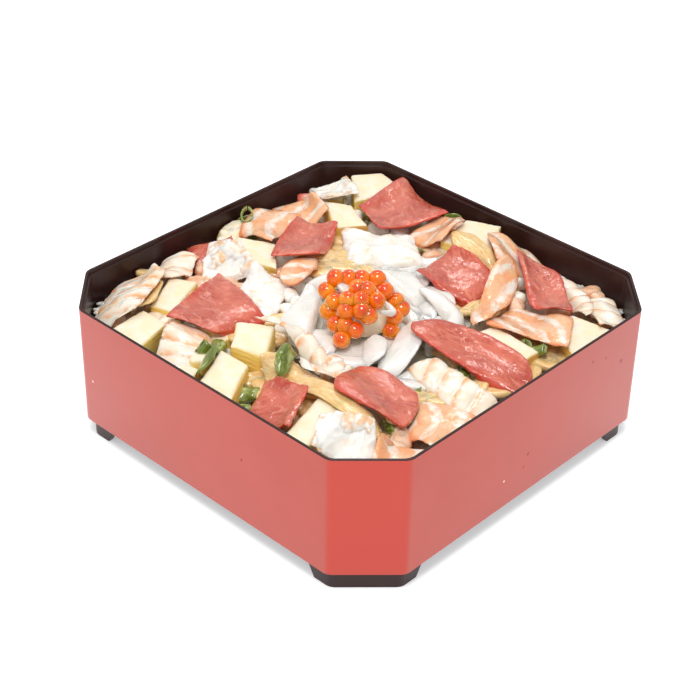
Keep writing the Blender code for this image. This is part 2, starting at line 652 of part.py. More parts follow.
def roe_spots(pile):
    """Middles of the eggs: those that are seen, then those on the far side, as turns of the golden angle."""
    spots = []
    for read in ROE_EGGS:
        spot = on_dome(read)
        for _ in range(4):
            spot = along_sight(read, max(spot.z, clear_height(pile, spot)))
        spots.append(spot)
    golden = math.pi * (3 - math.sqrt(5))
    for index in range(ROE_SPOTS):
        up = 1 - (index + 0.4) / ROE_SPOTS
        away = math.sqrt(1 - up * up)
        way = Vector((away * math.cos(index * golden), away * math.sin(index * golden), up))
        spot = Vector((*ROE_PLACE, ROE_LEVEL)) + way * ROE_DOME
        lift = clear_height(pile, spot) - spot.z
        if way.dot(TO_CAMERA) > ROE_FAR_SIDE or lift > ROE_MAX_LIFT:
            continue
        spot.z += max(lift, 0.0)
        if min((spot - other).length for other in spots) > ROE_CROWDING:
            spots.append(spot)
    return spots


def make_roe(pile, parts):
    """A smooth core with eggs fused on, each lifted clear of what lies round the heap."""
    x, y = ROE_PLACE
    reach = ROE_DOME - ROE_CORE_INSET
    where = ((x - reach, y - reach), (x + reach, y - reach), (x + reach, y + reach), (x - reach, y + reach))
    bm = lay(pile, "core", where, ROE_CORE_RISE, {"round": 1.0, "height": READ_HEIGHT})
    core = finish_mesh(bm, "roe", "roe", parts)
    eggs = new_collection("eggs")
    for index, spot in enumerate(roe_spots(pile)):
        egg = bmesh.new()
        bmesh.ops.create_uvsphere(egg, u_segments=7, v_segments=4, radius=ROE_RADIUS)
        bmesh.ops.rotate(egg, cent=(0, 0, 0), matrix=Matrix.Rotation(index, 3, "X"), verts=egg.verts)
        bmesh.ops.translate(egg, vec=spot, verts=egg.verts)
        finish_mesh(egg, f"egg_{index}", "roe", eggs)
    union = core.modifiers.new("eggs", "BOOLEAN")
    union.operation = "UNION"
    union.solver = "EXACT"
    union.operand_type = "COLLECTION"
    union.collection = eggs
    core = applied(core, parts)
    keep_outer_shell(core.data)
    for item in list(eggs.objects):
        bpy.data.objects.remove(item)
    bpy.data.collections.remove(eggs)
    return core


def main():
    clear_scene()
    parts = new_collection("sushi_box")
    cutters = new_collection("cutters")
    make_box(parts, cutters)
    make_rice(parts)
    pile = Pile()
    for kind, name, where, thickness, special in FOOD:
        if kind == "ring":
            bm = lay_ring(pile, where, thickness, special)
        else:
            bm = lay(pile, kind, where, thickness, {"pressed": PRESSED.get(slot_of(name), 0.0), **special})
        pile.add(bm)
        finish_mesh(bm, name, slot_of(name), parts)
        if name == LAST_SQUID:
            roe = make_roe(pile, parts)
            bm = bmesh.new()
            bm.from_mesh(roe.data)
            bmesh.ops.scale(bm, vec=(1000.0,) * 3, verts=bm.verts)
            pile.add(bm)
            bm.free()
    for item in cutters.objects:
        item.hide_render = True
        item.display_type = "WIRE"


main()
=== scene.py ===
# Takeaway tray of scattered sushi: how it looks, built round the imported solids.
# Lengths in the dictionaries are millimetres unless a note says otherwise, and colours are as a picture
# shows them, from 0 to 255.
import math
import random

import bmesh
import bpy
import numpy as np
from mathutils import Matrix, Vector
from mathutils.bvhtree import BVHTree


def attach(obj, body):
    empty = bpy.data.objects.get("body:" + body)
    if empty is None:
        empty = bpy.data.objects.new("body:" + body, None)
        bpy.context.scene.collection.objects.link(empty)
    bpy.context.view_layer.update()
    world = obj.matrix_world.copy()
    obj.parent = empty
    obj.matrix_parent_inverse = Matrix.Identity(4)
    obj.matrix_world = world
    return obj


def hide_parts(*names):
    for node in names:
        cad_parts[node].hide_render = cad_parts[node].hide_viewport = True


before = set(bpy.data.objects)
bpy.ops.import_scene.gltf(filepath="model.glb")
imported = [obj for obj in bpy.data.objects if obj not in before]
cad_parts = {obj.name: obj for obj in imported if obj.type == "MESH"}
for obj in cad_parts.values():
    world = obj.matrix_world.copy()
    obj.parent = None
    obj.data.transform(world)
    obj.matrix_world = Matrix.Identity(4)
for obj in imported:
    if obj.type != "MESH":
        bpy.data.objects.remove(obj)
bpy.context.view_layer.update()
mm = 0.001
upward, downward = Vector((0, 0, 1)), Vector((0, 0, -1))


# Camera and light, as the photograph has them, with angles in degrees
cameraSpot = {"target": (-8.02, 3.49, 24.75), "distance": 664.8, "azimuth": 42.93, "elevation": 33.98,
              "roll": 1.27, "lens": 88.54, "sensor": 36.0}
# name, place and size in metres, watts, colour
studioLights = [
    ("backPanel", (-0.58, 0.68, 1.36), (0.46, 0.34), 5.0, (1.0, 0.99, 0.97)),
    ("frontPanel", (0.34, -0.44, 1.26), (0.42, 0.42), 9.3, (1.0, 1.0, 1.0)),
    ("sidePanel", (-1.3, -0.75, 1.15), (0.5, 0.5), 2.5, (1.0, 1.0, 1.0)),
]
# the room's own light, and the place that the panels point at
roomLight = {"strength": 0.57, "colour": (1.0, 0.995, 0.985), "aim": (0, 0, 40)}


def putInScene(item):
    bpy.context.scene.collection.objects.link(item)
    return item


def setCamera():
    azimuth, elevation = math.radians(cameraSpot["azimuth"]), math.radians(cameraSpot["elevation"])
    roll = math.radians(cameraSpot["roll"])
    back = Vector((math.sin(azimuth) * math.cos(elevation), -math.cos(azimuth) * math.cos(elevation),
                   math.sin(elevation)))
    side = upward.cross(back).normalized()
    above = back.cross(side)
    right = side * math.cos(roll) + above * math.sin(roll)
    top = above * math.cos(roll) - side * math.sin(roll)
    lens = bpy.data.cameras.new("photoCamera")
    lens.lens, lens.sensor_width = cameraSpot["lens"], cameraSpot["sensor"]
    camera = putInScene(bpy.data.objects.new("photoCamera", lens))
    place = Matrix((right, top, back)).transposed().to_4x4()
    place.translation = (Vector(cameraSpot["target"]) + back * cameraSpot["distance"]) * mm
    camera.matrix_world = place
    bpy.context.scene.camera = camera
    print("camera set")


def setLights():
    for name, place, size, watts, colour in studioLights:
        lamp = bpy.data.lights.new(name, "AREA")
        lamp.shape, lamp.size, lamp.size_y = "RECTANGLE", size[0], size[1]
        lamp.energy, lamp.color = watts, colour
        item = putInScene(bpy.data.objects.new(name, lamp))
        item.location = place
        way = Vector(roomLight["aim"]) * mm - Vector(place)
        item.rotation_euler = way.to_track_quat("-Z", "Y").to_euler()
    world = bpy.data.worlds.new("paleRoom")
    world.use_nodes = True
    sky = world.node_tree.nodes["Background"]
    sky.inputs["Color"].default_value = (*roomLight["colour"], 1)
    sky.inputs["Strength"].default_value = roomLight["strength"]
    bpy.context.scene.world = world
    bpy.context.scene.view_settings.view_transform = "Standard"
    print("lights", len(studioLights))


# Finishes: a few short ways to wire up a material


def tint(colour):
    # a colour as a picture shows it, turned into what the shader wants
    shares = [c / 255 for c in colour]
    return tuple(c / 12.92 if c < 0.0405 else ((c + 0.055) / 1.055) ** 2.4 for c in shares)


def addNode(tree, kind, inputs=None, **settings):
    node = tree.nodes.new(kind)
    for name, value in settings.items():
        setattr(node, name, value)
    for key, value in (inputs or {}).items():
        if isinstance(value, bpy.types.NodeSocket):
            tree.links.new(value, node.inputs[key])
        elif node.inputs[key].type == "RGBA":
            node.inputs[key].default_value = (*tint(value), 1)
        else:
            node.inputs[key].default_value = value
    return node


def nextNode(kind, inputs, **settings):
    # a node in the same tree as what it takes in
    tree = next(v.id_data for v in inputs.values() if isinstance(v, bpy.types.NodeSocket))
    return addNode(tree, kind, inputs, **settings)


def objectPlace(tree):
    return addNode(tree, "ShaderNodeTexCoord").outputs["Object"]


def attributeOf(tree, name):
    return addNode(tree, "ShaderNodeAttribute", attribute_name=name).outputs["Vector"]


def partsOf(vector):
    return nextNode("ShaderNodeSeparateXYZ", {0: vector}).outputs


def stretched(vector, amounts):
    return nextNode("ShaderNodeVectorMath", {0: vector, 1: amounts}, operation="MULTIPLY").outputs[0]


def calc(operation, first, second=0.0):
    return nextNode("ShaderNodeMath", {0: first, 1: second}, operation=operation).outputs[0]


def times(first, second):
    return calc("MULTIPLY", first, second)


def between(value, low, high, start=0.0, end=1.0):
    # value taken smoothly from low..high to start..end
    return nextNode("ShaderNodeMapRange", {0: value, 1: low, 2: high, 3: start, 4: end},
                    interpolation_type="SMOOTHSTEP").outputs[0]


def grainOf(vector, scale, detail=3.0, roughness=0.55, bend=0.0):
    inputs = {"Vector": vector, "Scale": scale, "Detail": detail, "Roughness": roughness, "Distortion": bend}
    return nextNode("ShaderNodeTexNoise", inputs).outputs["Fac"]


def clouds(vector, scale, detail, low, high, start=0.0, end=1.0):
    # soft clouds of this scale, from start where there are none to end inside them
    return between(grainOf(vector, scale, detail), low, high, start, end)


def blend(share, first, second):
    return nextNode("ShaderNodeMix", {0: share, 6: first, 7: second}, data_type="RGBA").outputs[2]


def relief(height, strength, depth, below=None):
    inputs = {"Height": height, "Strength": strength, "Distance": depth * mm}
    if below:
        inputs["Normal"] = below
    return nextNode("ShaderNodeBump", inputs).outputs["Normal"]


def newFinish(name, fixed):
    material = bpy.data.materials.new(name)
    material.use_nodes = True
    tree = material.node_tree
    shader = tree.nodes["Principled BSDF"]
    for socket, value in fixed.items():
        shader.inputs[socket].default_value = value
    return material, tree, shader


def newFlesh(name, fixed):
    # a food's material, with where each point lies: in mm, and as shares of its piece's size
    material, tree, shader = newFinish(name, fixed)
    return material, shader, attributeOf(tree, "spot"), partsOf(attributeOf(tree, "share"))


def wire(shader, colour, roughness=None, normal=None, film=None):
    # the film of water follows the flesh, or a relief of its own
    for name, value in (("Base Color", colour), ("Roughness", roughness), ("Normal", normal),
                        ("Coat Normal", film or normal)):
        if value is not None:
            shader.id_data.links.new(value, shader.inputs[name])


def moist(depth, radius, coat, coatRoughness, weight):
    # what all wet food shares: light goes in a little way, and a thin film of water lies on it
    return {"Subsurface Weight": weight, "Subsurface Radius": radius, "Subsurface Scale": depth * mm,
            "Coat Weight": coat, "Coat Roughness": coatRoughness, "IOR": 1.38}


def rimOf(sides, edge, high, low):
    # 1 along the long rims of a slice and on its cut sides, 0 on its top
    return calc("MAXIMUM", between(calc("ABSOLUTE", sides[1]), edge, 1.0),
                between(sides[2], high, low))


# Shapes: even meshes over the solids' own forms


def wobble(points, size, seed):
    # a smooth random value from -1 to 1 at each point, with bumps this wide
    spots = points / size + seed * 17.31
    cell = np.floor(spots).astype(np.int64)
    rest = spots - cell
    rest = rest * rest * (3 - 2 * rest)
    total = np.zeros(len(points))
    for corner in range(8):
        step = np.array([(corner >> axis) & 1 for axis in range(3)])
        at = cell + step
        mixed = (at[:, 0] * 73856093) ^ (at[:, 1] * 19349663) ^ (at[:, 2] * 83492791) ^ (seed * 668265263)
        mixed = ((mixed ^ (mixed >> 13)) * 1274126177) & 0x7FFFFFFF
        value = ((mixed ^ (mixed >> 15)) & 0xFFFF) / 32767.5 - 1
        total += value * np.prod(np.where(step, rest, 1 - rest), axis=1)
    return total


def ridged(points, size, seed):
    return 1 - 2 * np.abs(wobble(points, size, seed))


def pointsOf(mesh):
    spots = np.empty(len(mesh.vertices) * 3)
    mesh.vertices.foreach_get("co", spots)
    return spots.reshape(-1, 3) / mm


def normalsOf(mesh):
    ways = np.empty(len(mesh.vertices) * 3)
    mesh.vertices.foreach_get("normal", ways)
    return ways.reshape(-1, 3)


def putPoints(mesh, points):
    mesh.vertices.foreach_set("co", (points * mm).ravel())
    mesh.update()


def putAttribute(mesh, name, values):
    layer = mesh.attributes.new(name, "FLOAT_VECTOR", "POINT")
    layer.data.foreach_set("vector", values.astype(np.float32).ravel())


def meshFrom(bm, name):
    mesh = bpy.data.meshes.new(name)
    bm.to_mesh(mesh)
    bm.free()
    return mesh


def putPlaces(mesh, spots, shares):
    putAttribute(mesh, "spot", np.array(spots))
    putAttribute(mesh, "share", np.array(shares))


def evenMesh(nodeName, cell, crease, smoothing, creaseAngle=50):
    # the solid's mesh made smooth, then remeshed with cells of one size
    bm = bmesh.new()
    bm.from_mesh(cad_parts[nodeName].data)
    bmesh.ops.remove_doubles(bm, verts=bm.verts, dist=1e-6)
    bmesh.ops.join_triangles(bm, faces=bm.faces, angle_face_threshold=1.2, angle_shape_threshold=1.2)
    sharp = bm.edges.layers.float.new("crease_edge")
    for edge in bm.edges:
        if len(edge.link_faces) == 2 and edge.calc_face_angle(0) > math.radians(creaseAngle):
            edge[sharp] = crease
    mesh = meshFrom(bm, nodeName + "Even")
    item = putInScene(bpy.data.objects.new(nodeName + "Even", mesh))
    item.modifiers.new("round", "SUBSURF").levels = 2
    remesh = item.modifiers.new("even", "REMESH")
    remesh.mode, remesh.voxel_size, remesh.use_smooth_shade = "VOXEL", cell * mm, True
    smooth = item.modifiers.new("smooth", "SMOOTH")
    smooth.factor, smooth.iterations = 0.5, smoothing
    seen = item.evaluated_get(bpy.context.evaluated_depsgraph_get())
    fine = bpy.data.meshes.new_from_object(seen)
    bpy.data.objects.remove(item)
    bpy.data.meshes.remove(mesh)
    fine.materials.clear()
    return fine


def localPlaces(points, normals, turn):
    # where each point lies on the piece: along, across and up in mm, and the same as shares of its size
    top = points[normals[:, 2] > 0.3]
    middle = top.mean(axis=0)
    flat = top[:, :2] - middle[:2]
    ways = np.linalg.eigh(flat.T @ flat)[1]
    length = ways[:, 1] * (1 if ways[:, 1] @ (0.8, 0.6) > 0 else -1)
    across = np.array([-length[1], length[0]])
    s, t = flat @ length, flat @ across
    marks = np.linspace(s.min(), s.max(), 14)
    centres, mids, halves = [], [], []
    for low, high in zip(marks[:-1], marks[1:]):
        here = t[(s >= low) & (s <= high)]
        if len(here) > 2:
            centres.append((low + high) / 2)
            mids.append((here.max() + here.min()) / 2)
            halves.append(max((here.max() - here.min()) / 2, 1.0))
    line = np.polyfit(centres, mids, 2)
    away = points[:, :2] - middle[:2]
    s, t = away @ length, away @ across
    t = t - np.polyval(line, s)
    half = np.interp(s, centres, halves)
    shares = np.column_stack([2 * (s - marks[0]) / (marks[-1] - marks[0]) - 1, t / half,
                              0.5 + 0.5 * normals[:, 2]])
    angle = math.radians(turn)
    spot = np.column_stack([s * math.cos(angle) + t * math.sin(angle),
                            t * math.cos(angle) - s * math.sin(angle), points[:, 2] - middle[2]])
    return spot, shares


def solidsTree(names):
    # one search tree for some of the solids, in millimetres
    spots, faces = [], []
    for name in names:
        start, mesh = len(spots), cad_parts[name].data
        spots.extend(v.co / mm for v in mesh.vertices)
        faces.extend(tuple(v + start for v in p.vertices) for p in mesh.polygons)
    return BVHTree.FromPolygons(spots, faces)


def topOf(tree, x, y):
    # the highest place of the solids at this point in plan, or None
    return tree.ray_cast(Vector((x, y, 100)), downward)[0]


def toppings():
    return [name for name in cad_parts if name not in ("box", "rice")]


def addPiece(mesh, name, finish, slot, *replaced):
    for material in finish if isinstance(finish, (list, tuple)) else (finish,):
        mesh.materials.append(material)
    item = putInScene(bpy.data.objects.new(name, mesh))
    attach(item, "root")
    if replaced:
        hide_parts(*replaced)


# Tray: red lacquer outside, brown-black inside, on the rim and on the foot. The food stays inside
# foodHalf from the middle, and x and y together stay under foodCorner.
trayLook = {"edgeRound": 0.28, "redFrom": 8.15, "redTo": 56.55, "halfWidth": 82.5, "cornerCut": 19.1,
            "foodHalf": 79.6, "foodCorner": 141.0, "red": (185, 74, 61), "paleRed": (190, 80, 67),
            "cornerLessSheenRed": (195, 59, 42), "black": (44, 22, 20), "paleBlack": (58, 32, 29),
            "dark": (150, 22, 18), "pale": (250, 205, 200)}
# specks and nicks in the lacquer: place, radius, dark or pale
traySpecks = [((82.5, 34.7, 48.0), 0.7, "dark"), ((82.5, 42.9, 45.8), 0.55, "dark"),
              ((82.5, 0.2, 25.1), 0.75, "dark"), ((82.5, -1.7, 20.3), 0.55, "dark"),
              ((82.5, 53.2, 39.6), 0.95, "dark"), ((82.5, -12.7, 19.9), 0.5, "pale"),
              ((-58.0, -82.5, 27.6), 0.5, "pale"), ((22.3, -82.5, 34.7), 0.6, "dark")]


def redLacquer():
    look = trayLook
    material, tree, shader = newFinish("redLacquer", {"Coat Weight": 0.15, "Coat Roughness": 0.22,
                                                      "Specular IOR Level": 0.4})
    place = objectPlace(tree)
    cloud = grainOf(place, 28.0, 4)
    base = blend(between(cloud, 0.3, 0.7), look["red"], look["paleRed"])
    sides = partsOf(addNode(tree, "ShaderNodeNewGeometry").outputs["Normal"])
    diagonal = times(calc("ABSOLUTE", sides[0]), calc("ABSOLUTE", sides[1]))
    # painted light: the cut corners take the light at another angle and show less white sheen, so their red
    # is painted deeper
    base = blend(between(diagonal, 0.1, 0.45), base, look["cornerLessSheenRed"])
    for spot, radius, kind in traySpecks:
        far = nextNode("ShaderNodeVectorMath", {0: place, 1: tuple(c * mm for c in spot)},
                       operation="DISTANCE").outputs["Value"]
        ragged = times(grainOf(place, 1800.0, 2), 0.6 * mm)
        near = calc("SUBTRACT", calc("ADD", far, ragged), 0.3 * mm)
        mark = between(near, radius * 1.1 * mm, radius * 0.7 * mm)
        base = blend(mark, base, look[kind])
    wire(shader, base, between(cloud, 0.2, 0.8, 0.30, 0.40),
         relief(grainOf(place, 900.0, 2), 0.06, 0.05))
    return material


def blackLacquer():
    material, tree, shader = newFinish("blackLacquer", {"Coat Weight": 0.1, "Coat Roughness": 0.25,
                                                        "Specular IOR Level": 0.25})
    place = objectPlace(tree)
    cloud = grainOf(stretched(place, (1.0, 1.0, 0.3)), 40.0, 4)
    base = blend(between(cloud, 0.3, 0.7), trayLook["black"], trayLook["paleBlack"])
    wire(shader, base, between(cloud, 0.2, 0.8, 0.26, 0.42),
         relief(grainOf(place, 700.0, 2), 0.08, 0.05))
    return material


def makeTray():
    look = trayLook
    bm = bmesh.new()
    bm.from_mesh(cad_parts["box"].data)
    bmesh.ops.remove_doubles(bm, verts=bm.verts, dist=1e-6)
    bmesh.ops.dissolve_limit(bm, angle_limit=math.radians(1.0), verts=bm.verts, edges=bm.edges)
    edges = [e for e in bm.edges if len(e.link_faces) == 2 and e.calc_face_angle(0) > math.radians(28)]
    bmesh.ops.bevel(bm, geom=edges, offset=look["edgeRound"] * mm, segments=3, profile=0.6, affect="EDGES",
                    clamp_overlap=True)
    bmesh.ops.triangulate(bm, faces=[f for f in bm.faces if len(f.verts) > 4])
    half, cut = look["halfWidth"], look["cornerCut"]
    for face in bm.faces:
        x, y, z = (abs(c) / mm for c in face.calc_center_median())
        outside = max(x - half, y - half, (x + y - 2 * half + cut) / math.sqrt(2)) > -0.2
        red = outside and look["redFrom"] < z < look["redTo"] and abs(face.normal.z) < 0.5
        face.material_index = 0 if red else 1
        face.smooth = True
    mesh = meshFrom(bm, "lacquerTray")
    mesh.set_sharp_from_angle(angle=math.radians(32))
    addPiece(mesh, "lacquerTray", [redLacquer(), blackLacquer()], "lacquer", "box")
    print("tray", len(mesh.polygons), "faces")


# Food. In each dictionary: cell, crease and smoothing for evenMesh, depths of the relief, how far some
# pieces' grain is turned from their length in degrees, and the colours.


def cutSide(shares, reach=1.6):
    # 1 on the cut sides of a piece, 0 on its top and its underside
    return np.clip(reach - 4 * np.abs(shares[:, 2] - 0.5), 0, 1)


# Tuna: soft cut slices with fibres, paler where dry and deeper red where wet
tunaLook = {"cell": 0.58, "crease": 0.6, "smoothing": 3, "sag": 0.35, "fibre": 0.07, "torn": 0.32,
            "turns": {"tuna_1": 20, "tuna_3": 60, "tuna_4": 75, "tuna_5": 8, "tuna_6": 35, "tuna_7": -30},
            "dry": (214, 106, 82), "wet": (186, 68, 46), "marbling": (238, 150, 124),
            "strand": (222, 132, 108), "sinew": (244, 200, 186), "fleckAndGlint": (250, 222, 212),
            "rim": (204, 58, 34)}


def tunaFinish():
    look = tunaLook
    wet = moist(1.6, (1.0, 0.3, 0.15), 1.0, 0.06, 0.45)
    material, shader, spot, sides = newFlesh("tunaFlesh", wet)
    patches = grainOf(spot, 0.075, 2, bend=0.5)
    base = blend(between(patches, 0.35, 0.65), look["dry"], look["wet"])
    marbling = grainOf(stretched(spot, (0.6, 1.2, 1.0)), 0.22, 4, 0.6, 1.2)
    base = blend(between(marbling, 0.5, 0.64, 0.0, 0.55), base, look["marbling"])
    strands = grainOf(stretched(spot, (0.22, 1.5, 1.0)), 0.9, 4, 0.6, 0.6)
    base = blend(between(strands, 0.42, 0.62, 0.0, 0.3), base, look["strand"])
    sinew = grainOf(stretched(spot, (0.35, 2.6, 1.0)), 0.55, 5, 0.65, 1.4)
    base = blend(between(sinew, 0.64, 0.74, 0.0, 0.6), base, look["sinew"])
    # pale flecks: partly fibre crumbs, partly painted glints of light
    flecksAndGlints = grainOf(stretched(spot, (0.7, 2.2, 1.0)), 1.5, 2, 0.5, 2.0)
    base = blend(between(flecksAndGlints, 0.69, 0.75, 0.0, 0.8), base, look["fleckAndGlint"])
    # the cut sides and thin rims are deeper and redder
    base = blend(times(rimOf(sides, 0.72, 0.86, 0.55), 0.75), base, look["rim"])
    film = relief(grainOf(spot, 0.32, 3, 0.5), 0.55, 1.4)
    normal = relief(strands, 0.14, 0.4)
    normal = relief(grainOf(spot, 2.6, 4, 0.65), 0.22, 0.3, normal)
    wire(shader, base, clouds(spot, 0.35, 3, 0.35, 0.65, 0.18, 0.42), normal, film)
    return material


def tunaForm(spot, shares, points, seed):
    strands = ridged(spot * (0.35, 1.6, 0.6), 2.4, seed + 3)
    return (tunaLook["sag"] * (wobble(points, 6.5, seed) - 0.4) + tunaLook["fibre"] * strands
            + cutSide(shares) * tunaLook["torn"] * (wobble(points, 1.9, seed + 5) - 0.5))


# Salmon: orange with white stripes of fat, each a period wide and bent across the slice
salmonLook = {"cell": 0.58, "crease": 0.45, "smoothing": 3, "sag": 0.3, "step": 0.16, "torn": 0.3,
              "period": 8.5, "bend": 0.018,
              "turns": {"salmon_1": 15, "salmon_2": 80, "salmon_3": -25, "salmon_4": 70, "salmon_5": 78,
                        "salmon_6": 20, "salmon_7": 75, "salmon_8": 86, "salmon_9": 5},
              "deep": (242, 166, 112), "light": (244, 190, 148), "fat": (248, 234, 220),
              "rim": (238, 132, 70)}


def salmonFinish():
    look = salmonLook
    wet = moist(1.5, (1.0, 0.42, 0.22), 0.8, 0.08, 0.35)
    material, shader, spot, sides = newFlesh("salmonFlesh", wet)
    along, across = partsOf(spot)[0:2]
    bend = times(times(across, across), look["bend"])
    drift = times(grainOf(spot, 0.16, 3), 7.0)
    bent = calc("ADD", calc("ADD", along, bend), drift)
    wave = calc("SINE", times(bent, 2 * math.pi / look["period"]))
    base = blend(clouds(spot, 0.1, 3, 0.35, 0.65), look["deep"], look["light"])
    stripes = times(between(wave, 0.0, 0.9), clouds(spot, 0.3, 2, 0.3, 0.6, 0.35, 1.0))
    base = blend(stripes, base, look["fat"])
    base = blend(times(rimOf(sides, 0.78, 0.8, 0.5), 0.6), base, look["rim"])
    fine = grainOf(stretched(spot, (0.5, 1.4, 1.0)), 1.8, 3, 0.6)
    film = relief(grainOf(spot, 0.3, 3, 0.5), 0.5, 1.2)
    normal = relief(fine, 0.2, 0.25, relief(wave, 0.2, 0.3))
    wire(shader, base, clouds(spot, 0.4, 2, 0.35, 0.65, 0.22, 0.48), normal, film)
    return material


def salmonForm(spot, shares, points, seed):
    bent = spot[:, 0] + salmonLook["bend"] * spot[:, 1] ** 2
    stripes = np.sin(bent * 2 * math.pi / salmonLook["period"])
    return (salmonLook["sag"] * (wobble(points, 6.0, seed) - 0.5) + salmonLook["step"] * (stripes - 0.6)
            + cutSide(shares) * salmonLook["torn"] * (wobble(points, 1.8, seed + 5) - 0.5))


# Shrimp: cooked white flesh in segments, each with an orange band
shrimpLook = {"cell": 0.58, "crease": 0.25, "smoothing": 7, "segment": 7.2, "groove": 0.48,
              "grooveWidth": 0.55, "swell": 0.22, "sag": 0.3, "turns": {"shrimp_4": 25, "shrimp_7": -20},
              "white": (247, 239, 226), "cream": (246, 226, 202), "band": (244, 158, 84),
              "rim": (236, 148, 86)}


def shrimpFinish():
    look = shrimpLook
    wet = moist(1.8, (1.0, 0.7, 0.5), 0.6, 0.12, 0.4)
    material, shader, spot, sides = newFlesh("shrimpFlesh", wet)
    drift = times(grainOf(spot, 0.22, 3), 2.6)
    along = calc("ADD", calc("ADD", partsOf(spot)[0], drift), 200.0)  # never below 0
    ring = calc("FRACT", calc("DIVIDE", along, look["segment"]))
    band = calc("MAXIMUM", between(ring, 0.42, 0.0), between(ring, 0.93, 1.0))
    patchy = times(band, clouds(spot, 0.24, 3, 0.36, 0.56, 0.15, 1.0))
    back = between(calc("ABSOLUTE", sides[1]), 0.1, 0.8, 0.55, 1.0)
    base = blend(clouds(spot, 0.12, 2, 0.35, 0.65), look["white"], look["cream"])
    base = blend(times(times(patchy, back), 0.95), base, look["band"])
    rim = times(between(sides[2], 0.72, 0.5), clouds(spot, 0.4, 2, 0.4, 0.6))
    base = blend(times(rim, 0.8), base, look["rim"])
    fine = grainOf(stretched(spot, (0.6, 1.6, 1.0)), 1.6, 3, 0.6)
    wire(shader, base, clouds(spot, 0.4, 2, 0.35, 0.65, 0.2, 0.45), relief(fine, 0.14, 0.3))
    return material


def shrimpForm(spot, shares, points, seed):
    look = shrimpLook
    drift = (wobble(spot, 4.5, seed + 2) + 1) * 0.6
    ring = np.mod((spot[:, 0] + drift) / look["segment"], 1.0)
    near = np.minimum(ring, 1 - ring) * look["segment"]
    groove = np.exp(-(near / look["grooveWidth"]) ** 2) * np.clip(shares[:, 2] * 1.6, 0, 1)
    return (look["swell"] * (np.sin(np.pi * ring) - 1) - look["groove"] * groove
            + look["sag"] * (wobble(points, 3.2, seed) - 0.4))


# White fish and chopped shrimp: chunky, nearly white
whiteLook = {"cell": 0.6, "crease": 0.15, "smoothing": 2, "chop": 0.95, "flake": 0.35, "grain": 0.25,
             "turns": {"white_5": 90},
             "white": (249, 245, 239), "cream": (247, 239, 228), "blush": (243, 206, 166),
             "rim": (240, 180, 122)}


def whiteFinish():
    look = whiteLook
    wet = moist(2.0, (1.0, 0.85, 0.75), 0.35, 0.14, 0.4)
    material, shader, spot, sides = newFlesh("whiteFlesh", wet)
    base = blend(clouds(spot, 0.14, 3, 0.35, 0.65), look["white"], look["cream"])
    blush = between(grainOf(spot, 0.2, 3, bend=0.5), 0.55, 0.72, 0.0, 0.75)
    base = blend(blush, base, look["blush"])
    rim = times(between(sides[2], 0.7, 0.45), clouds(spot, 0.35, 2, 0.42, 0.6))
    base = blend(times(rim, 0.8), base, look["rim"])
    wire(shader, base, clouds(spot, 0.4, 2, 0.35, 0.65, 0.24, 0.5),
         relief(grainOf(spot, 1.3, 4, 0.62), 0.3, 0.35))
    return material


def whiteForm(spot, shares, points, seed):
    flakes = ridged(spot * (1.0, 0.5, 1.0), 2.6, seed + 7)
    return (whiteLook["chop"] * (wobble(points, 4.6, seed) - 0.45) + whiteLook["flake"] * (flakes - 0.6)
            + whiteLook["grain"] * (wobble(points, 1.6, seed + 4) - 0.3))


# Rolled egg: soft yellow blocks with fine pores, thin layers on the cut sides, a browned skin
eggLook = {"cell": 0.56, "crease": 0.92, "smoothing": 2, "pore": 0.56, "sag": 0.16, "layer": 0.1,
           "layersPerMm": 3.6, "turns": {},
           "top": (247, 236, 214), "creamTop": (247, 230, 194), "side": (249, 214, 112),
           "layerEdge": (252, 232, 164), "skin": (228, 168, 82)}


def eggFinish():
    look = eggLook
    material, shader, spot, sides = newFlesh("rolledEgg", {
        "Subsurface Weight": 0.3, "Subsurface Radius": (1.0, 0.75, 0.3), "Subsurface Scale": 1.5 * mm,
        "Coat Weight": 0.1, "Coat Roughness": 0.3, "IOR": 1.4})
    base = blend(clouds(spot, 0.16, 3, 0.35, 0.65), look["top"], look["creamTop"])
    drift = times(grainOf(spot, 0.3, 2), 1.6)
    height = calc("ADD", partsOf(spot)[2], drift)
    layers = calc("SINE", times(height, look["layersPerMm"]))
    wall = between(sides[2], 0.92, 0.6)
    base = blend(wall, base, look["side"])
    edges = times(wall, between(layers, 0.5, 0.95, 0.0, 0.6))
    base = blend(edges, base, look["layerEdge"])
    # one end keeps the browned skin of the roll
    skin = times(wall, between(sides[0], 0.75, 0.95))
    base = blend(times(skin, 0.75), base, look["skin"])
    pores = nextNode("ShaderNodeTexVoronoi", {"Vector": spot, "Scale": 1.1}, feature="F1")
    holes = between(pores.outputs["Distance"], 0.08, 0.3)
    fine = grainOf(spot, 1.6, 3)
    normal = relief(fine, 0.2, 0.25, relief(holes, 0.25, 0.25))
    wire(shader, base, between(fine, 0.3, 0.7, 0.42, 0.62), normal)
    return material


def eggForm(spot, shares, points, seed):
    pores = np.clip(wobble(points, 1.35, seed) - 0.42, 0, 1)
    layers = np.sin(spot[:, 2] * eggLook["layersPerMm"] + wobble(points, 4, seed + 2)) - 0.5
    return (eggLook["sag"] * (wobble(points, 4.5, seed + 1) - 0.6) - eggLook["pore"] * pores
            + cutSide(shares, 2) * eggLook["layer"] * layers)


# Squid: smooth pale strips
squidLook = {"cell": 0.56, "crease": 0.35, "smoothing": 4, "sag": 0.22, "fibre": 0.08, "turns": {},
             "white": (244, 241, 235), "glassy": (228, 228, 222), "streak": (246, 244, 240)}


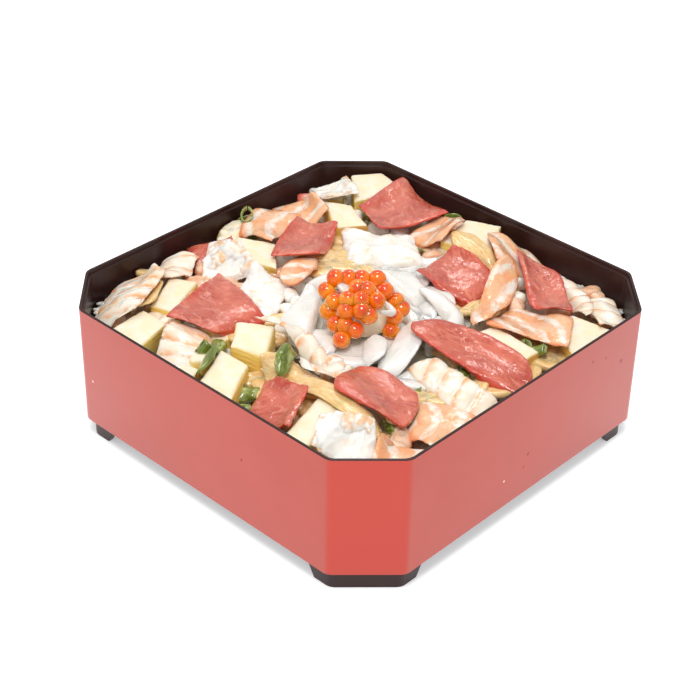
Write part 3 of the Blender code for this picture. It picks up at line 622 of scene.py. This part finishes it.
def squidFinish():
    look = squidLook
    material, tree, shader = newFinish("rawSquid", moist(3.0, (1.0, 0.95, 0.9), 1.0, 0.05, 0.5))
    spot = attributeOf(tree, "spot")
    cloudy = grainOf(spot, 0.13, 3)
    base = blend(between(cloudy, 0.32, 0.68), look["white"], look["glassy"])
    streak = clouds(stretched(spot, (0.3, 1.2, 1.0)), 0.5, 3, 0.5, 0.75, 0.0, 0.4)
    base = blend(streak, base, look["streak"])
    wire(shader, base, between(cloudy, 0.3, 0.7, 0.16, 0.3),
         relief(grainOf(spot, 0.9, 2), 0.22, 0.6))
    return material


def squidForm(spot, shares, points, seed):
    return (squidLook["sag"] * (wobble(points, 7.0, seed) - 0.5)
            + squidLook["fibre"] * ridged(spot * (0.3, 1.0, 1.0), 2.2, seed + 2) - 0.05)


# Gourd strips: simmered, see-through tan
gourdLook = {"cell": 0.6, "crease": 0.3, "smoothing": 2, "wrinkle": 0.38, "sag": 0.2, "turns": {},
             "tan": (234, 186, 118), "pale": (246, 216, 162), "olive": (190, 172, 96)}


def gourdFinish():
    look = gourdLook
    material, tree, shader = newFinish("simmeredGourd", moist(2.0, (1.0, 0.7, 0.35), 0.6, 0.08, 0.45))
    spot = attributeOf(tree, "spot")
    strands = grainOf(stretched(spot, (0.14, 1.0, 1.0)), 1.5, 4, 0.55, 0.4)
    base = blend(between(strands, 0.35, 0.65), look["tan"], look["pale"])
    olive = grainOf(spot, 0.14, 2)
    base = blend(between(olive, 0.55, 0.75, 0.0, 0.5), base, look["olive"])
    wire(shader, base, between(olive, 0.3, 0.7, 0.16, 0.34), relief(strands, 0.28, 0.4))
    return material


def gourdForm(spot, shares, points, seed):
    folds = ridged(spot * (0.16, 1.0, 0.6), 3.2, seed)
    return gourdLook["wrinkle"] * (folds - 0.9) + gourdLook["sag"] * (wobble(points, 4.0, seed + 1) - 0.4)


# Spring onion: rings and leaf strips, dark and wet outside, pale at the cut
onionLook = {"cell": 0.42, "crease": 0.3, "smoothing": 2, "rib": 0.14, "turns": {},
             "green": (92, 104, 34), "lightGreen": (132, 148, 60), "pale": (198, 206, 138),
             "cut": (206, 214, 150)}


def onionFinish():
    look = onionLook
    wet = moist(1.2, (0.6, 1.0, 0.3), 0.7, 0.06, 0.25)
    material, shader, spot, sides = newFlesh("springOnion", wet)
    ribs = grainOf(stretched(spot, (0.14, 1.5, 1.0)), 0.9, 3)
    base = blend(between(ribs, 0.35, 0.65), look["green"], look["lightGreen"])
    base = blend(times(clouds(spot, 0.16, 2, 0.5, 0.72), 0.75), base, look["pale"])
    base = blend(between(sides[2], 0.35, 0.0, 0.0, 0.6), base, look["cut"])
    wire(shader, base, between(ribs, 0.3, 0.7, 0.14, 0.3), relief(ribs, 0.25, 0.3))
    return material


def onionForm(spot, shares, points, seed):
    return onionLook["rib"] * ridged(spot * (0.15, 1.0, 0.5), 1.4, seed) - 0.15


foodKinds = {
    "tuna": (tunaLook, tunaFinish, tunaForm), "salmon": (salmonLook, salmonFinish, salmonForm),
    "shrimp": (shrimpLook, shrimpFinish, shrimpForm), "white": (whiteLook, whiteFinish, whiteForm),
    "egg": (eggLook, eggFinish, eggForm), "squid": (squidLook, squidFinish, squidForm),
    "gourd": (gourdLook, gourdFinish, gourdForm), "onion": (onionLook, onionFinish, onionForm),
}
foodFinishes = {}  # filled by makeFood, and used again for the bits and slices


def makeFood():
    for kind, (look, makeFinish, form) in foodKinds.items():
        foodFinishes[kind], faces = makeFinish(), 0
        names = sorted(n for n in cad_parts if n.split("_")[0] == kind)
        for seed, name in enumerate(names):
            mesh = evenMesh(name, look["cell"], look["crease"], look["smoothing"])
            points, normals = pointsOf(mesh), normalsOf(mesh)
            spot, shares = localPlaces(points, normals, look["turns"].get(name, 0))
            push = form(spot, shares, points, seed * 11 + 1)
            putPoints(mesh, points + normals * push[:, None])
            putPlaces(mesh, spot, shares)
            addPiece(mesh, name + "Fresh", foodFinishes[kind], kind, name)
            faces += len(mesh.polygons)
        print("food", kind, len(names), "pieces", faces, "faces")


# Roe: single eggs on a hidden core. The eggs that are seen are given by where their line of sight
# meets the read height, and each is found on the heap's dome along that line.
# Eggs on the far side are laid out by a spiral of tried places. Lean is how far a line of sight goes
# sideways for each millimetre down.
roeLook = {"place": (9.5, -9.5), "level": 54.5, "dome": 12.5, "radius": 3.45, "inside": 0.8,
           "readHeight": 56.0, "lean": (-1.05, 1.15), "toCamera": (0.565, -0.607, 0.559), "farSide": 0.1,
           "crowding": 5.6, "tried": 46, "lift": 0.1, "seenLifts": 60, "farLifts": 36, "rings": 16,
           "segments": 24, "coreReach": 10.6, "coreRise": 12.4,
           "yellow": (255, 164, 20), "deep": (250, 104, 4), "warm": (255, 130, 12), "glow": (255, 184, 50),
           "heart": (222, 64, 12), "syrup": (249, 226, 190), "paleSyrup": (251, 238, 216)}
roeSeen = [(-13, 0.5), (-9.5, -8), (-9.5, 4), (-6, 7), (-2, 11), (-2.5, 1), (1, 2.5), (5.5, 7), (-2.5, -11.5),
           (0.5, -7), (4, -4), (8, 0), (13, 5), (0.5, -17.5), (5, -13), (9, -9), (13, -9.5), (8.5, -22),
           (16, -20), (17, -28), (20, -3.5), (18, 2.5), (25.5, -11), (11.5, -20)]
# how red each of them is, from 0 for yellow to 1 for deep
roeMoods = [0.75, 0.05, 0.8, 0.7, 0.8, 0.45, 0.7, 0.85, 0.25, 0.1, 0.6, 0.45, 0.4, 0.2, 0.65, 0.75, 0.5, 0.6,
            0.95, 0.4, 0.5, 0.6, 0.3, 0.6]


def roeFinish():
    look = roeLook
    material, tree, shader = newFinish("salmonEgg", {
        "Subsurface Weight": 0.6, "Subsurface Radius": (1.0, 0.4, 0.05), "Subsurface Scale": 2.4 * mm,
        "Coat Weight": 1.0, "Coat Roughness": 0.02, "Coat IOR": 1.5, "Roughness": 0.08, "IOR": 1.38})
    inner, mood = attributeOf(tree, "heart"), partsOf(attributeOf(tree, "mood"))[0]
    height = partsOf(inner)[2]
    swirl = grainOf(inner, 1.6, 3, bend=0.6)
    base = blend(mood, look["yellow"], look["deep"])
    base = blend(between(swirl, 0.35, 0.65, 0.0, 0.5), base, look["warm"])
    # light gathers low in each egg, and the heart shows darker and redder near its top
    base = blend(between(height, 0.1, -0.7, 0.0, 0.75), base, look["glow"])
    heart = between(calc("ADD", height, times(swirl, 0.5)), 0.86, 1.2)
    wire(shader, blend(times(heart, 0.8), base, look["heart"]))
    return material


def roeCoreFinish():
    material, tree, shader = newFinish("roeSyrup", moist(2.0, (1.0, 0.6, 0.3), 0.8, 0.05, 0.5))
    cloud = grainOf(objectPlace(tree), 300.0, 3)
    wire(shader, blend(cloud, roeLook["syrup"], roeLook["paleSyrup"]),
         between(cloud, 0.3, 0.7, 0.15, 0.3), relief(cloud, 0.3, 0.5))
    return material


def ballParts(rings, segments):
    # points and faces of a round ball of radius 1, used for every egg and every grain
    points = [(0.0, 0.0, 1.0)]
    for ring in range(1, rings):
        up = math.pi * ring / rings
        for k in range(segments):
            turn = math.tau * k / segments
            points.append((math.sin(up) * math.cos(turn), math.sin(up) * math.sin(turn), math.cos(up)))
    points.append((0.0, 0.0, -1.0))
    last = len(points) - 1
    faces = []
    for k in range(segments):
        after = (k + 1) % segments
        faces.append((0, 1 + k, 1 + after))
        for ring in range(rings - 2):
            top, low = 1 + ring * segments, 1 + (ring + 1) * segments
            faces.append((top + k, low + k, low + after, top + after))
        end = 1 + (rings - 2) * segments
        faces.append((end + k, last, end + after))
    return np.array(points), faces


def joinParts(name, parts):
    # parts: points in mm, faces, material number
    points, faces, numbers = [], [], []
    start = 0
    for spots, rings, number in parts:
        points.append(spots)
        faces.extend(tuple(v + start for v in ring) for ring in rings)
        numbers.extend([number] * len(rings))
        start += len(spots)
    mesh = bpy.data.meshes.new(name)
    mesh.from_pydata((np.vstack(points) * mm).tolist(), [], faces)
    mesh.polygons.foreach_set("material_index", numbers)
    mesh.polygons.foreach_set("use_smooth", [True] * len(faces))
    mesh.update()
    return mesh


def rimSteps(rows, columns):
    # the points round the edge of a grid, each with the next
    rim = ([(i, 0) for i in range(rows)] + [(rows, j) for j in range(columns)]
           + [(i, columns) for i in range(rows, 0, -1)] + [(0, j) for j in range(columns, 0, -1)])
    return list(zip(rim, rim[1:] + rim[:1]))


def alongSight(read, height):
    lean = np.array(roeLook["lean"])
    return np.array([*(np.array(read) + lean * (roeLook["readHeight"] - height)), height])


def onDome(read):
    # where the line of sight through a read place meets the dome, or passes nearest to it
    lean = np.array(roeLook["lean"])
    start = np.array(read) + lean * roeLook["readHeight"] - roeLook["place"]
    a = lean @ lean + 1
    b = start @ lean + roeLook["level"]
    c = start @ start + roeLook["level"] ** 2 - roeLook["dome"] ** 2
    return alongSight(read, (b + math.sqrt(max(b * b - a * c, 0.0))) / a)


def makeRoe():
    look = roeLook
    tree = solidsTree(["roe"])
    radius = look["radius"]
    inside = radius * look["inside"]

    def deepIn(spot):
        # a middle is right when the solid's own egg is all round it
        near, way = tree.find_nearest(Vector(spot))[0:2]
        return (near - Vector(spot)).length > inside and (near - Vector(spot)).dot(way) > 0

    placed = []
    for read, mood in zip(roeSeen, roeMoods):
        spot = onDome(read)
        for step in range(look["seenLifts"]):
            trial = alongSight(read, spot[2] + step * look["lift"])
            if deepIn(trial):
                spot = trial
                break
        placed.append((spot, mood))
    golden = math.pi * (3 - math.sqrt(5))
    random.seed(5)
    centre = np.array((*look["place"], look["level"]))
    for index in range(look["tried"]):
        up = 1 - (index + 0.4) / look["tried"]
        away, turn = math.sqrt(1 - up * up), index * golden
        way = np.array((away * math.cos(turn), away * math.sin(turn), up))
        if way @ look["toCamera"] > look["farSide"]:
            continue
        for step in range(look["farLifts"]):
            spot = centre + way * look["dome"] + (0, 0, step * look["lift"])
            if deepIn(spot):
                break
        else:
            continue
        if min(np.linalg.norm(spot - other) for other, mood in placed) > look["crowding"]:
            placed.append((spot, random.uniform(0.2, 0.9)))

    core, coreFaces = ballParts(16, 28)
    core = core * (look["coreReach"], look["coreReach"], look["coreRise"])
    core[:, 2] = np.maximum(core[:, 2], -3.0)
    parts = [(core + centre, coreFaces, 1)]
    hearts, moods = [np.zeros((len(core), 3))], [np.zeros((len(core), 3))]
    ball, ballFaces = ballParts(look["rings"], look["segments"])
    for spot, mood in placed:
        size = radius * random.uniform(0.96, 1.02)
        lean = (Matrix.Rotation(random.uniform(-0.5, 0.5), 3, "X")
                @ Matrix.Rotation(random.uniform(-0.5, 0.5), 3, "Y"))
        egg = ball * (size, size * random.uniform(0.95, 1.0), size * random.uniform(0.94, 1.0))
        up = Vector((0.25, -0.27, 1)).normalized()  # hearts float up, a little towards the front
        toHeart = np.array((lean @ up).rotation_difference(upward).to_matrix())
        parts.append((egg + spot, ballFaces, 0))
        hearts.append(ball @ toHeart.T)
        moods.append(np.full((len(ball), 3), mood))
    mesh = joinParts("roeHeap", parts)
    putAttribute(mesh, "heart", np.vstack(hearts))
    putAttribute(mesh, "mood", np.vstack(moods))
    addPiece(mesh, "roeHeap", [roeFinish(), roeCoreFinish()], "roe", "roe")
    print("roe", len(placed), "eggs", len(mesh.polygons), "faces")


# Rice: a bumpy bed with single grains wherever it shows. Grains are tried on a grid inside half, and x
# and y together stay under corner; a grain lies clear of the toppings and under none within roof.
riceLook = {"cell": 1.6, "crease": 0.8, "smoothing": 2, "bump": 0.7, "half": 79, "corner": 140, "roof": 13.7,
            "grainLength": 3.0, "grainWidth": 1.15, "spacing": 2.1, "clear": 1.7, "depth": 0.35,
            "white": (246, 243, 232), "shade": (232, 226, 206), "soaked": (226, 204, 160)}


def riceFinish():
    material, tree, shader = newFinish("cookedRice", moist(2.0, (1.0, 0.9, 0.75), 0.4, 0.15, 0.5))
    place = objectPlace(tree)
    cloud = grainOf(place, 260.0, 3)
    base = blend(between(cloud, 0.35, 0.65), riceLook["white"], riceLook["shade"])
    base = blend(clouds(place, 60.0, 2, 0.5, 0.7, 0.0, 0.45), base, riceLook["soaked"])
    wire(shader, base, between(cloud, 0.3, 0.7, 0.25, 0.45), relief(cloud, 0.35, 0.5))
    return material


def makeRice():
    look = riceLook
    mesh = evenMesh("rice", look["cell"], look["crease"], look["smoothing"])
    points, normals = pointsOf(mesh), normalsOf(mesh)
    top = np.clip(normals[:, 2], 0, 1)
    points += normals * ((wobble(points, 2.6, 3) - 0.8) * look["bump"] * top)[:, None]
    bedFaces = [tuple(p.vertices) for p in mesh.polygons]
    bed = BVHTree.FromPolygons(points.tolist(), bedFaces)
    parts = [(points, bedFaces, 0)]
    grain, grainFaces = ballParts(6, 8)
    food = solidsTree(toppings())
    random.seed(11)
    half, spacing = look["half"], look["spacing"]
    steps = int(2 * half / spacing)
    for i in range(steps):
        for j in range(steps):
            x = -half + (i + random.random()) * spacing
            y = -half + (j + random.random()) * spacing
            hit = topOf(bed, x, y)
            if hit is None or abs(x) + abs(y) > look["corner"]:
                continue
            above = food.ray_cast(hit - Vector((0, 0, 3)), upward)[0]
            if above is not None and above.z < hit.z + look["roof"]:
                continue  # covered, so nobody sees it
            away = food.find_nearest(hit + Vector((0, 0, 0.6)))[3]
            if away is not None and away < look["clear"]:
                continue
            heading = (Matrix.Rotation(random.uniform(0, math.pi), 3, "Z")
                       @ Matrix.Rotation(random.uniform(-0.35, 0.35), 3, "Y"))
            width = look["grainWidth"] * random.uniform(0.85, 1.1)
            length = look["grainLength"] * random.uniform(0.85, 1.1)
            turned = (grain[:, [2, 0, 1]] * (length, width, width * 0.9)) @ np.array(heading).T
            parts.append((turned + np.array(hit) + (0, 0, look["depth"]), grainFaces, 0))
    mesh = joinParts("riceBed", parts)
    addPiece(mesh, "riceBed", riceFinish(), "rice", "rice")
    print("rice", len(parts) - 1, "grains", len(mesh.polygons), "faces")


# Chopped bits that fill the gaps between the large pieces: what lies near each of these places
bitAreas = {
    "egg": [(-70, 63), (-67, 17), (-25, -47), (-16, -65)],
    "tuna": [(-64, 45)],
    "white": [(-45, 60), (-30, 56), (24, 62), (-23, -18)],
    "salmon": [(-15, 56), (-51, 10), (-67, -23), (-51, -14), (48, 52), (49, 78), (55, 34), (66, -42)],
    "gourd": [(-38, 24), (-28, 14), (-74, -33), (27, 30), (35, 29), (66, 32), (-9, -33), (40, -6),
              (9, -58), (67, -1), (25, -55), (54, -41)],
    "squid": [(2, 36), (16, 18), (-5, -18), (38, -17), (18, -28)],
    "shrimp": [(36, 57), (-78, -61), (-64, -59), (22, -37)],
    "onion": [(-21, -63), (49, 2), (4, -66)],
    "none": [(14, -50), (7, -42)],
}
# half length, half width, half height, how boxy (less is more) and how bent
bitSizes = {"egg": (4.4, 3.6, 3.2, 0.45, 0), "tuna": (5.2, 3.9, 2.0, 0.55, 0.6),
            "white": (4.6, 3.4, 2.9, 0.8, 0), "salmon": (5.2, 3.2, 2.4, 0.75, 0.3),
            "gourd": (8.5, 3.2, 1.6, 0.7, 2.0), "squid": (10.0, 3.8, 1.4, 0.75, 4.5),
            "shrimp": (4.8, 3.2, 2.8, 0.8, 1.0), "onion": (4.2, 3.0, 1.8, 0.75, 1.0)}
# tried on a grid inside half, where x and y together stay under corner; level is how high over the rice
bitLook = {"half": 77, "corner": 134, "spacing": 5.2, "level": 4.4, "rings": 14, "segments": 22,
           "rough": {"squid": 0.15, "gourd": 0.35, "tuna": 0.35}, "roughElse": 0.6, "bump": 2.6}
# pale squid bits on the roe: read place, size, heading
roeBits = [((-7, -2), (3.1, 2.0, 1.2), 50), ((16.5, -3.0), (3.6, 1.5, 1.4), 130)]


def insideWalls(points):
    # pressed back where it would reach into the tray's walls
    limit, cut = trayLook["foodHalf"], trayLook["foodCorner"]
    points[:, :2] = np.clip(points[:, :2], -limit, limit)
    over = np.maximum(np.abs(points[:, 0]) + np.abs(points[:, 1]) - cut, 0) / 2
    points[:, :2] -= np.sign(points[:, :2]) * over[:, None]
    return points


def oneBit(kind, size, spot, heading, tilt, seed):
    # one rounded, uneven bit: points, faces, local places and shares
    ball, faces = ballParts(bitLook["rings"], bitLook["segments"])
    boxy = np.sign(ball) * np.abs(ball) ** bitSizes[kind][3]
    local = boxy * size
    local[:, 1] += bitSizes[kind][4] * (boxy[:, 0] ** 2 - 0.4)
    rough = bitLook["rough"].get(kind, bitLook["roughElse"])
    local = local + ball * (rough * wobble(local + seed * 5.3, bitLook["bump"], seed))[:, None]
    turn = np.array(Matrix.Rotation(heading, 3, "Z") @ Matrix.Rotation(tilt, 3, "X"))
    shares = np.column_stack([ball[:, 0], ball[:, 1], 0.5 + 0.5 * (ball @ turn.T)[:, 2]])
    return insideWalls(local @ turn.T + spot), faces, local + seed * 9.7, shares


def kindNear(x, y):
    # the kind of bits that lies at this point in plan
    return min((math.dist(place, (x, y)), kind) for kind, area in bitAreas.items() for place in area)[1]


def makeBits():
    bed, food = solidsTree(["rice"]), solidsTree(toppings())
    random.seed(23)
    heaps = {}
    toCamera = Vector(roeLook["toCamera"])
    half, spacing = bitLook["half"], bitLook["spacing"]
    steps = int(2 * half / spacing)
    for i in range(steps):
        for j in range(steps):
            x = -half + (i + random.uniform(0.1, 0.9)) * spacing
            y = -half + (j + random.uniform(0.1, 0.9)) * spacing
            heading, tilt = random.uniform(0, math.pi), random.uniform(-0.4, 0.4)
            grow = random.uniform(0.8, 1.15)
            kind = kindNear(x, y)
            low = topOf(bed, x, y)
            if kind == "none" or low is None or abs(x) + abs(y) > bitLook["corner"]:
                continue
            start = low + Vector((0, 0, 2.0))
            roof = food.ray_cast(start, upward)[0]
            if roof and food.ray_cast(start, toCamera)[0]:
                continue  # covered both ways
            inside = food.ray_cast(start, downward)[0]
            if inside is not None and inside.z > low.z:
                continue  # the place is taken by a piece that stands here
            size = np.array(bitSizes[kind][:3]) * grow
            level = min(bitLook["level"], (roof.z - low.z) / 2) if roof else bitLook["level"]
            bit = oneBit(kind, size, np.array(low) + (0, 0, level), heading, tilt, i * steps + j)
            heaps.setdefault(kind, []).append(bit)
    for number, (read, size, heading) in enumerate(roeBits):
        spot = onDome(read) + (0, 0, 1.2)
        heaps["squid"].append(oneBit("squid", size, spot, math.radians(heading), 0.5, 900 + number))
    for kind, bits in heaps.items():
        mesh = joinParts(kind + "Bits", [(bit[0], bit[1], 0) for bit in bits])
        putPlaces(mesh, np.vstack([bit[2] for bit in bits]), np.vstack([bit[3] for bit in bits]))
        addPiece(mesh, kind + "Bits", foodFinishes[kind], kind)
        print("bits", kind, len(bits))


# Spring onion slices: place, length and width across, heading in degrees
slices = [
    ((-36, 1, 46), (5.0, 6.0), 60), ((-32, 4, 47), (4.0, 5.0), 20), ((-22, -28, 47.5), (5.0, 6.0), -16),
    ((-18, -61.5, 51), (5.0, 7.0), 80), ((3, -46.5, 48.5), (4.0, 6.5), 60),
    ((4, -66, 47.5), (9.0, 6.0), -47), ((-15.5, -13.5, 50.5), (6.0, 3.0), -43),
    ((-45, 54, 50), (5.0, 5.5), 60), ((-17, 35, 48.5), (5.5, 4.5), 40), ((-11, 46, 49), (4.0, 5.5), -30),
    ((31.5, 17, 47.5), (5.0, 5.5), -58), ((42, 0, 47), (6.0, 5.0), 10), ((61, 22, 50.5), (4.0, 5.5), 5),
    ((67, 22, 51.5), (6.0, 4.5), 30), ((56, -45, 48), (4.0, 6.5), 60), ((60, -47, 48.5), (4.0, 5.5), 0),
    ((50, -25, 48), (5.0, 4.5), 40), ((-73.5, 11.5, 54.5), (3.5, 7.0), -47),
    ((-56, -52, 49.5), (4.0, 5.5), -35), ((-1, -48, 48), (3.5, 5.0), 10),
]
# open is how far round the leaf goes, in degrees; around and along are faces
sliceLook = {"wall": 0.9, "open": 350, "squash": 0.72, "wave": 0.25, "around": 22, "along": 5}


def makeSlices():
    # short open tubes of leaf, deep in the gaps
    random.seed(31)
    parts, spots, shares = [], [], []
    around, along = sliceLook["around"], sliceLook["along"]
    opening = math.radians(sliceLook["open"])
    for number, (place, (length, width), heading) in enumerate(slices):
        pose = (Matrix.Rotation(math.radians(heading), 3, "Z")
                @ Matrix.Rotation(random.uniform(-0.9, -0.2), 3, "Y")
                @ Matrix.Rotation(random.uniform(0, math.tau), 3, "X"))
        points, local, where = [], [], []
        for wall in (0, 1):
            for i in range(along + 1):
                for j in range(around + 1):
                    turn = opening * (j / around - 0.5)
                    reach = width / 2 - wall * sliceLook["wall"] * (1 - 0.3 * (i in (0, along)))
                    a = (i / along - 0.5) * length + sliceLook["wave"] * math.sin(3 * turn + number)
                    b, c = reach * math.cos(turn), reach * math.sin(turn) * sliceLook["squash"]
                    points.append((a, b, c))
                    local.append((a + number * 9, turn * width / 2, wall))
                    where.append((0.0, 0.0, 1.0 - wall))
        step = around + 1
        size = (along + 1) * step
        faces = []
        for i in range(along):
            for j in range(around):
                ring = (i * step + j, i * step + j + 1, (i + 1) * step + j + 1, (i + 1) * step + j)
                faces.append(ring)
                faces.append(tuple(v + size for v in ring[::-1]))
        for (i, j), (k, m) in rimSteps(along, around):
            faces.append((i * step + j, k * step + m, size + k * step + m, size + i * step + j))
        parts.append((insideWalls(np.array(points) @ np.array(pose).T + place), faces, 0))
        spots.extend(local)
        shares.extend(where)
    mesh = joinParts("onionSlices", parts)
    putPlaces(mesh, spots, shares)
    addPiece(mesh, "onionSlices", foodFinishes["onion"], "onion")
    print("slices", len(slices))


# Thin strips of gourd and scraps of seaweed in the gaps: kind, place in plan, size, heading in degrees
scraps = [
    ("strip", (-31, 17), (30, 11), 30), ("strip", (36, 29), (12, 8), 20),
    ("strip", (48, -66), (9, 6), 130), ("strip", (27, -54), (14, 7), 20), ("strip", (52, 1), (10, 6), 100),
    ("strip", (66, 33), (12, 7), 70), ("strip", (57, -41), (16, 10), 130),
    ("weed", (8, -42), (13, 9), 20), ("weed", (14, -48), (10, 7), 100),
]
# they lie on what is under them, but not below or above the levels
scrapLook = {"thick": 0.8, "cells": (16, 8), "levels": {"weed": (45.0, 47.0), "strip": (49.5, 51.5)},
             "curl": 0.2, "loose": 0.15, "limp": 6, "weed": (26, 24, 16), "paleWeed": (52, 44, 30)}


def weedFinish():
    material, tree, shader = newFinish("driedSeaweed", {"Coat Weight": 0.3, "Coat Roughness": 0.2})
    cloud = grainOf(attributeOf(tree, "spot"), 0.8, 4)
    wire(shader, blend(cloud, scrapLook["weed"], scrapLook["paleWeed"]),
         between(cloud, 0.3, 0.7, 0.25, 0.5), relief(cloud, 0.5, 0.4))
    return material


def limpSheet(food, kind, place, size, heading):
    # one thin scrap's middle as a grid: each point's shares along and across, its place and its height
    nu, nv = scrapLook["cells"]
    angle = math.radians(heading)
    along, across = Vector((math.cos(angle), math.sin(angle))), Vector((-math.sin(angle), math.cos(angle)))
    lowest, highest = scrapLook["levels"][kind]
    rows, heights = [], []
    for i in range(nu + 1):
        for j in range(nv + 1):
            u, v = 2 * i / nu - 1, 2 * j / nv - 1
            a, b = u * math.sqrt(1 - 0.35 * v * v), v * math.sqrt(1 - 0.35 * u * u)
            spot = Vector(place) + along * (a * size[0] / 2) + across * (b * size[1] / 2)
            hit = topOf(food, spot.x, spot.y)
            heights.append(min(max(hit.z, lowest), highest) if hit else lowest)
            rows.append((u, v, spot))
    under = np.array(heights).reshape(nu + 1, nv + 1)
    grid = under
    for _ in range(scrapLook["limp"]):  # it is limp, but it doesn't fall into every gap
        pad = np.pad(grid, 1, mode="edge")
        mean = (pad[:-2, 1:-1] + pad[2:, 1:-1] + pad[1:-1, :-2] + pad[1:-1, 2:]) / 4
        grid = np.maximum(mean, under)
    return rows, grid


def makeScraps():
    look = scrapLook
    food = solidsTree(toppings() + ["rice"])
    finishes = {"strip": (foodFinishes["gourd"], "gourd"), "weed": (weedFinish(), "onion")}
    nu, nv = look["cells"]
    for kind, (finish, slot) in finishes.items():
        bm = bmesh.new()
        spots, shares = [], []
        for seed, (sort, place, size, heading) in enumerate(scraps):
            if sort != kind:
                continue
            rows, grid = limpSheet(food, kind, place, size, heading)
            verts = {}
            for layer in (0, 1):
                for number, (u, v, spot) in enumerate(rows):
                    i, j = divmod(number, nv + 1)
                    curl = look["curl"] * math.sin(u * 5 + seed)
                    edge = 1 - 0.7 * max(abs(u), abs(v)) ** 6
                    height = grid[i, j] + look["loose"] + curl + layer * look["thick"] * edge
                    verts[layer, i, j] = bm.verts.new((spot.x, spot.y, height))
                    spots.append((u * size[0] / 2, v * size[1] / 2, height))
                    shares.append((u, v, float(layer)))
            for i in range(nu):
                for j in range(nv):
                    for layer in (0, 1):
                        ring = [verts[layer, i, j], verts[layer, i + 1, j],
                                verts[layer, i + 1, j + 1], verts[layer, i, j + 1]]
                        bm.faces.new(ring if layer else ring[::-1])
            for (i, j), (k, m) in rimSteps(nu, nv):
                bm.faces.new((verts[0, i, j], verts[0, k, m], verts[1, k, m], verts[1, i, j]))
        bmesh.ops.scale(bm, vec=(mm,) * 3, verts=bm.verts)
        for face in bm.faces:
            face.smooth = True
        mesh = meshFrom(bm, kind + "Scraps")
        putPlaces(mesh, spots, shares)
        addPiece(mesh, kind + "Scraps", finish, slot)
    print("scraps", len(scraps))


# Floor: plain and pale, with a little light of its own; half in metres
floorLook = {"half": 3.0, "glow": 0.42, "glowColour": (0.97, 0.98, 1.0, 1.0), "pale": (250, 250, 250),
             "cool": (247, 247, 248)}


def makeFloor():
    bm = bmesh.new()
    bmesh.ops.create_grid(bm, x_segments=12, y_segments=12, size=floorLook["half"])
    mesh = meshFrom(bm, "paleFloor")
    material, tree, shader = newFinish("paleFloor", {
        "Roughness": 0.7, "Specular IOR Level": 0.2, "Emission Strength": floorLook["glow"],
        "Emission Color": floorLook["glowColour"]})
    place = objectPlace(tree)
    base = blend(grainOf(place, 3.0, 3), floorLook["pale"], floorLook["cool"])
    wire(shader, base, None, relief(grainOf(place, 900.0, 2), 0.03, 0.1))
    mesh.materials.append(material)
    putInScene(bpy.data.objects.new("paleFloor", mesh))
    print("floor done")


setCamera()
setLights()
makeFloor()
makeTray()
makeFood()
makeRoe()
makeRice()
makeBits()
makeSlices()
makeScraps()
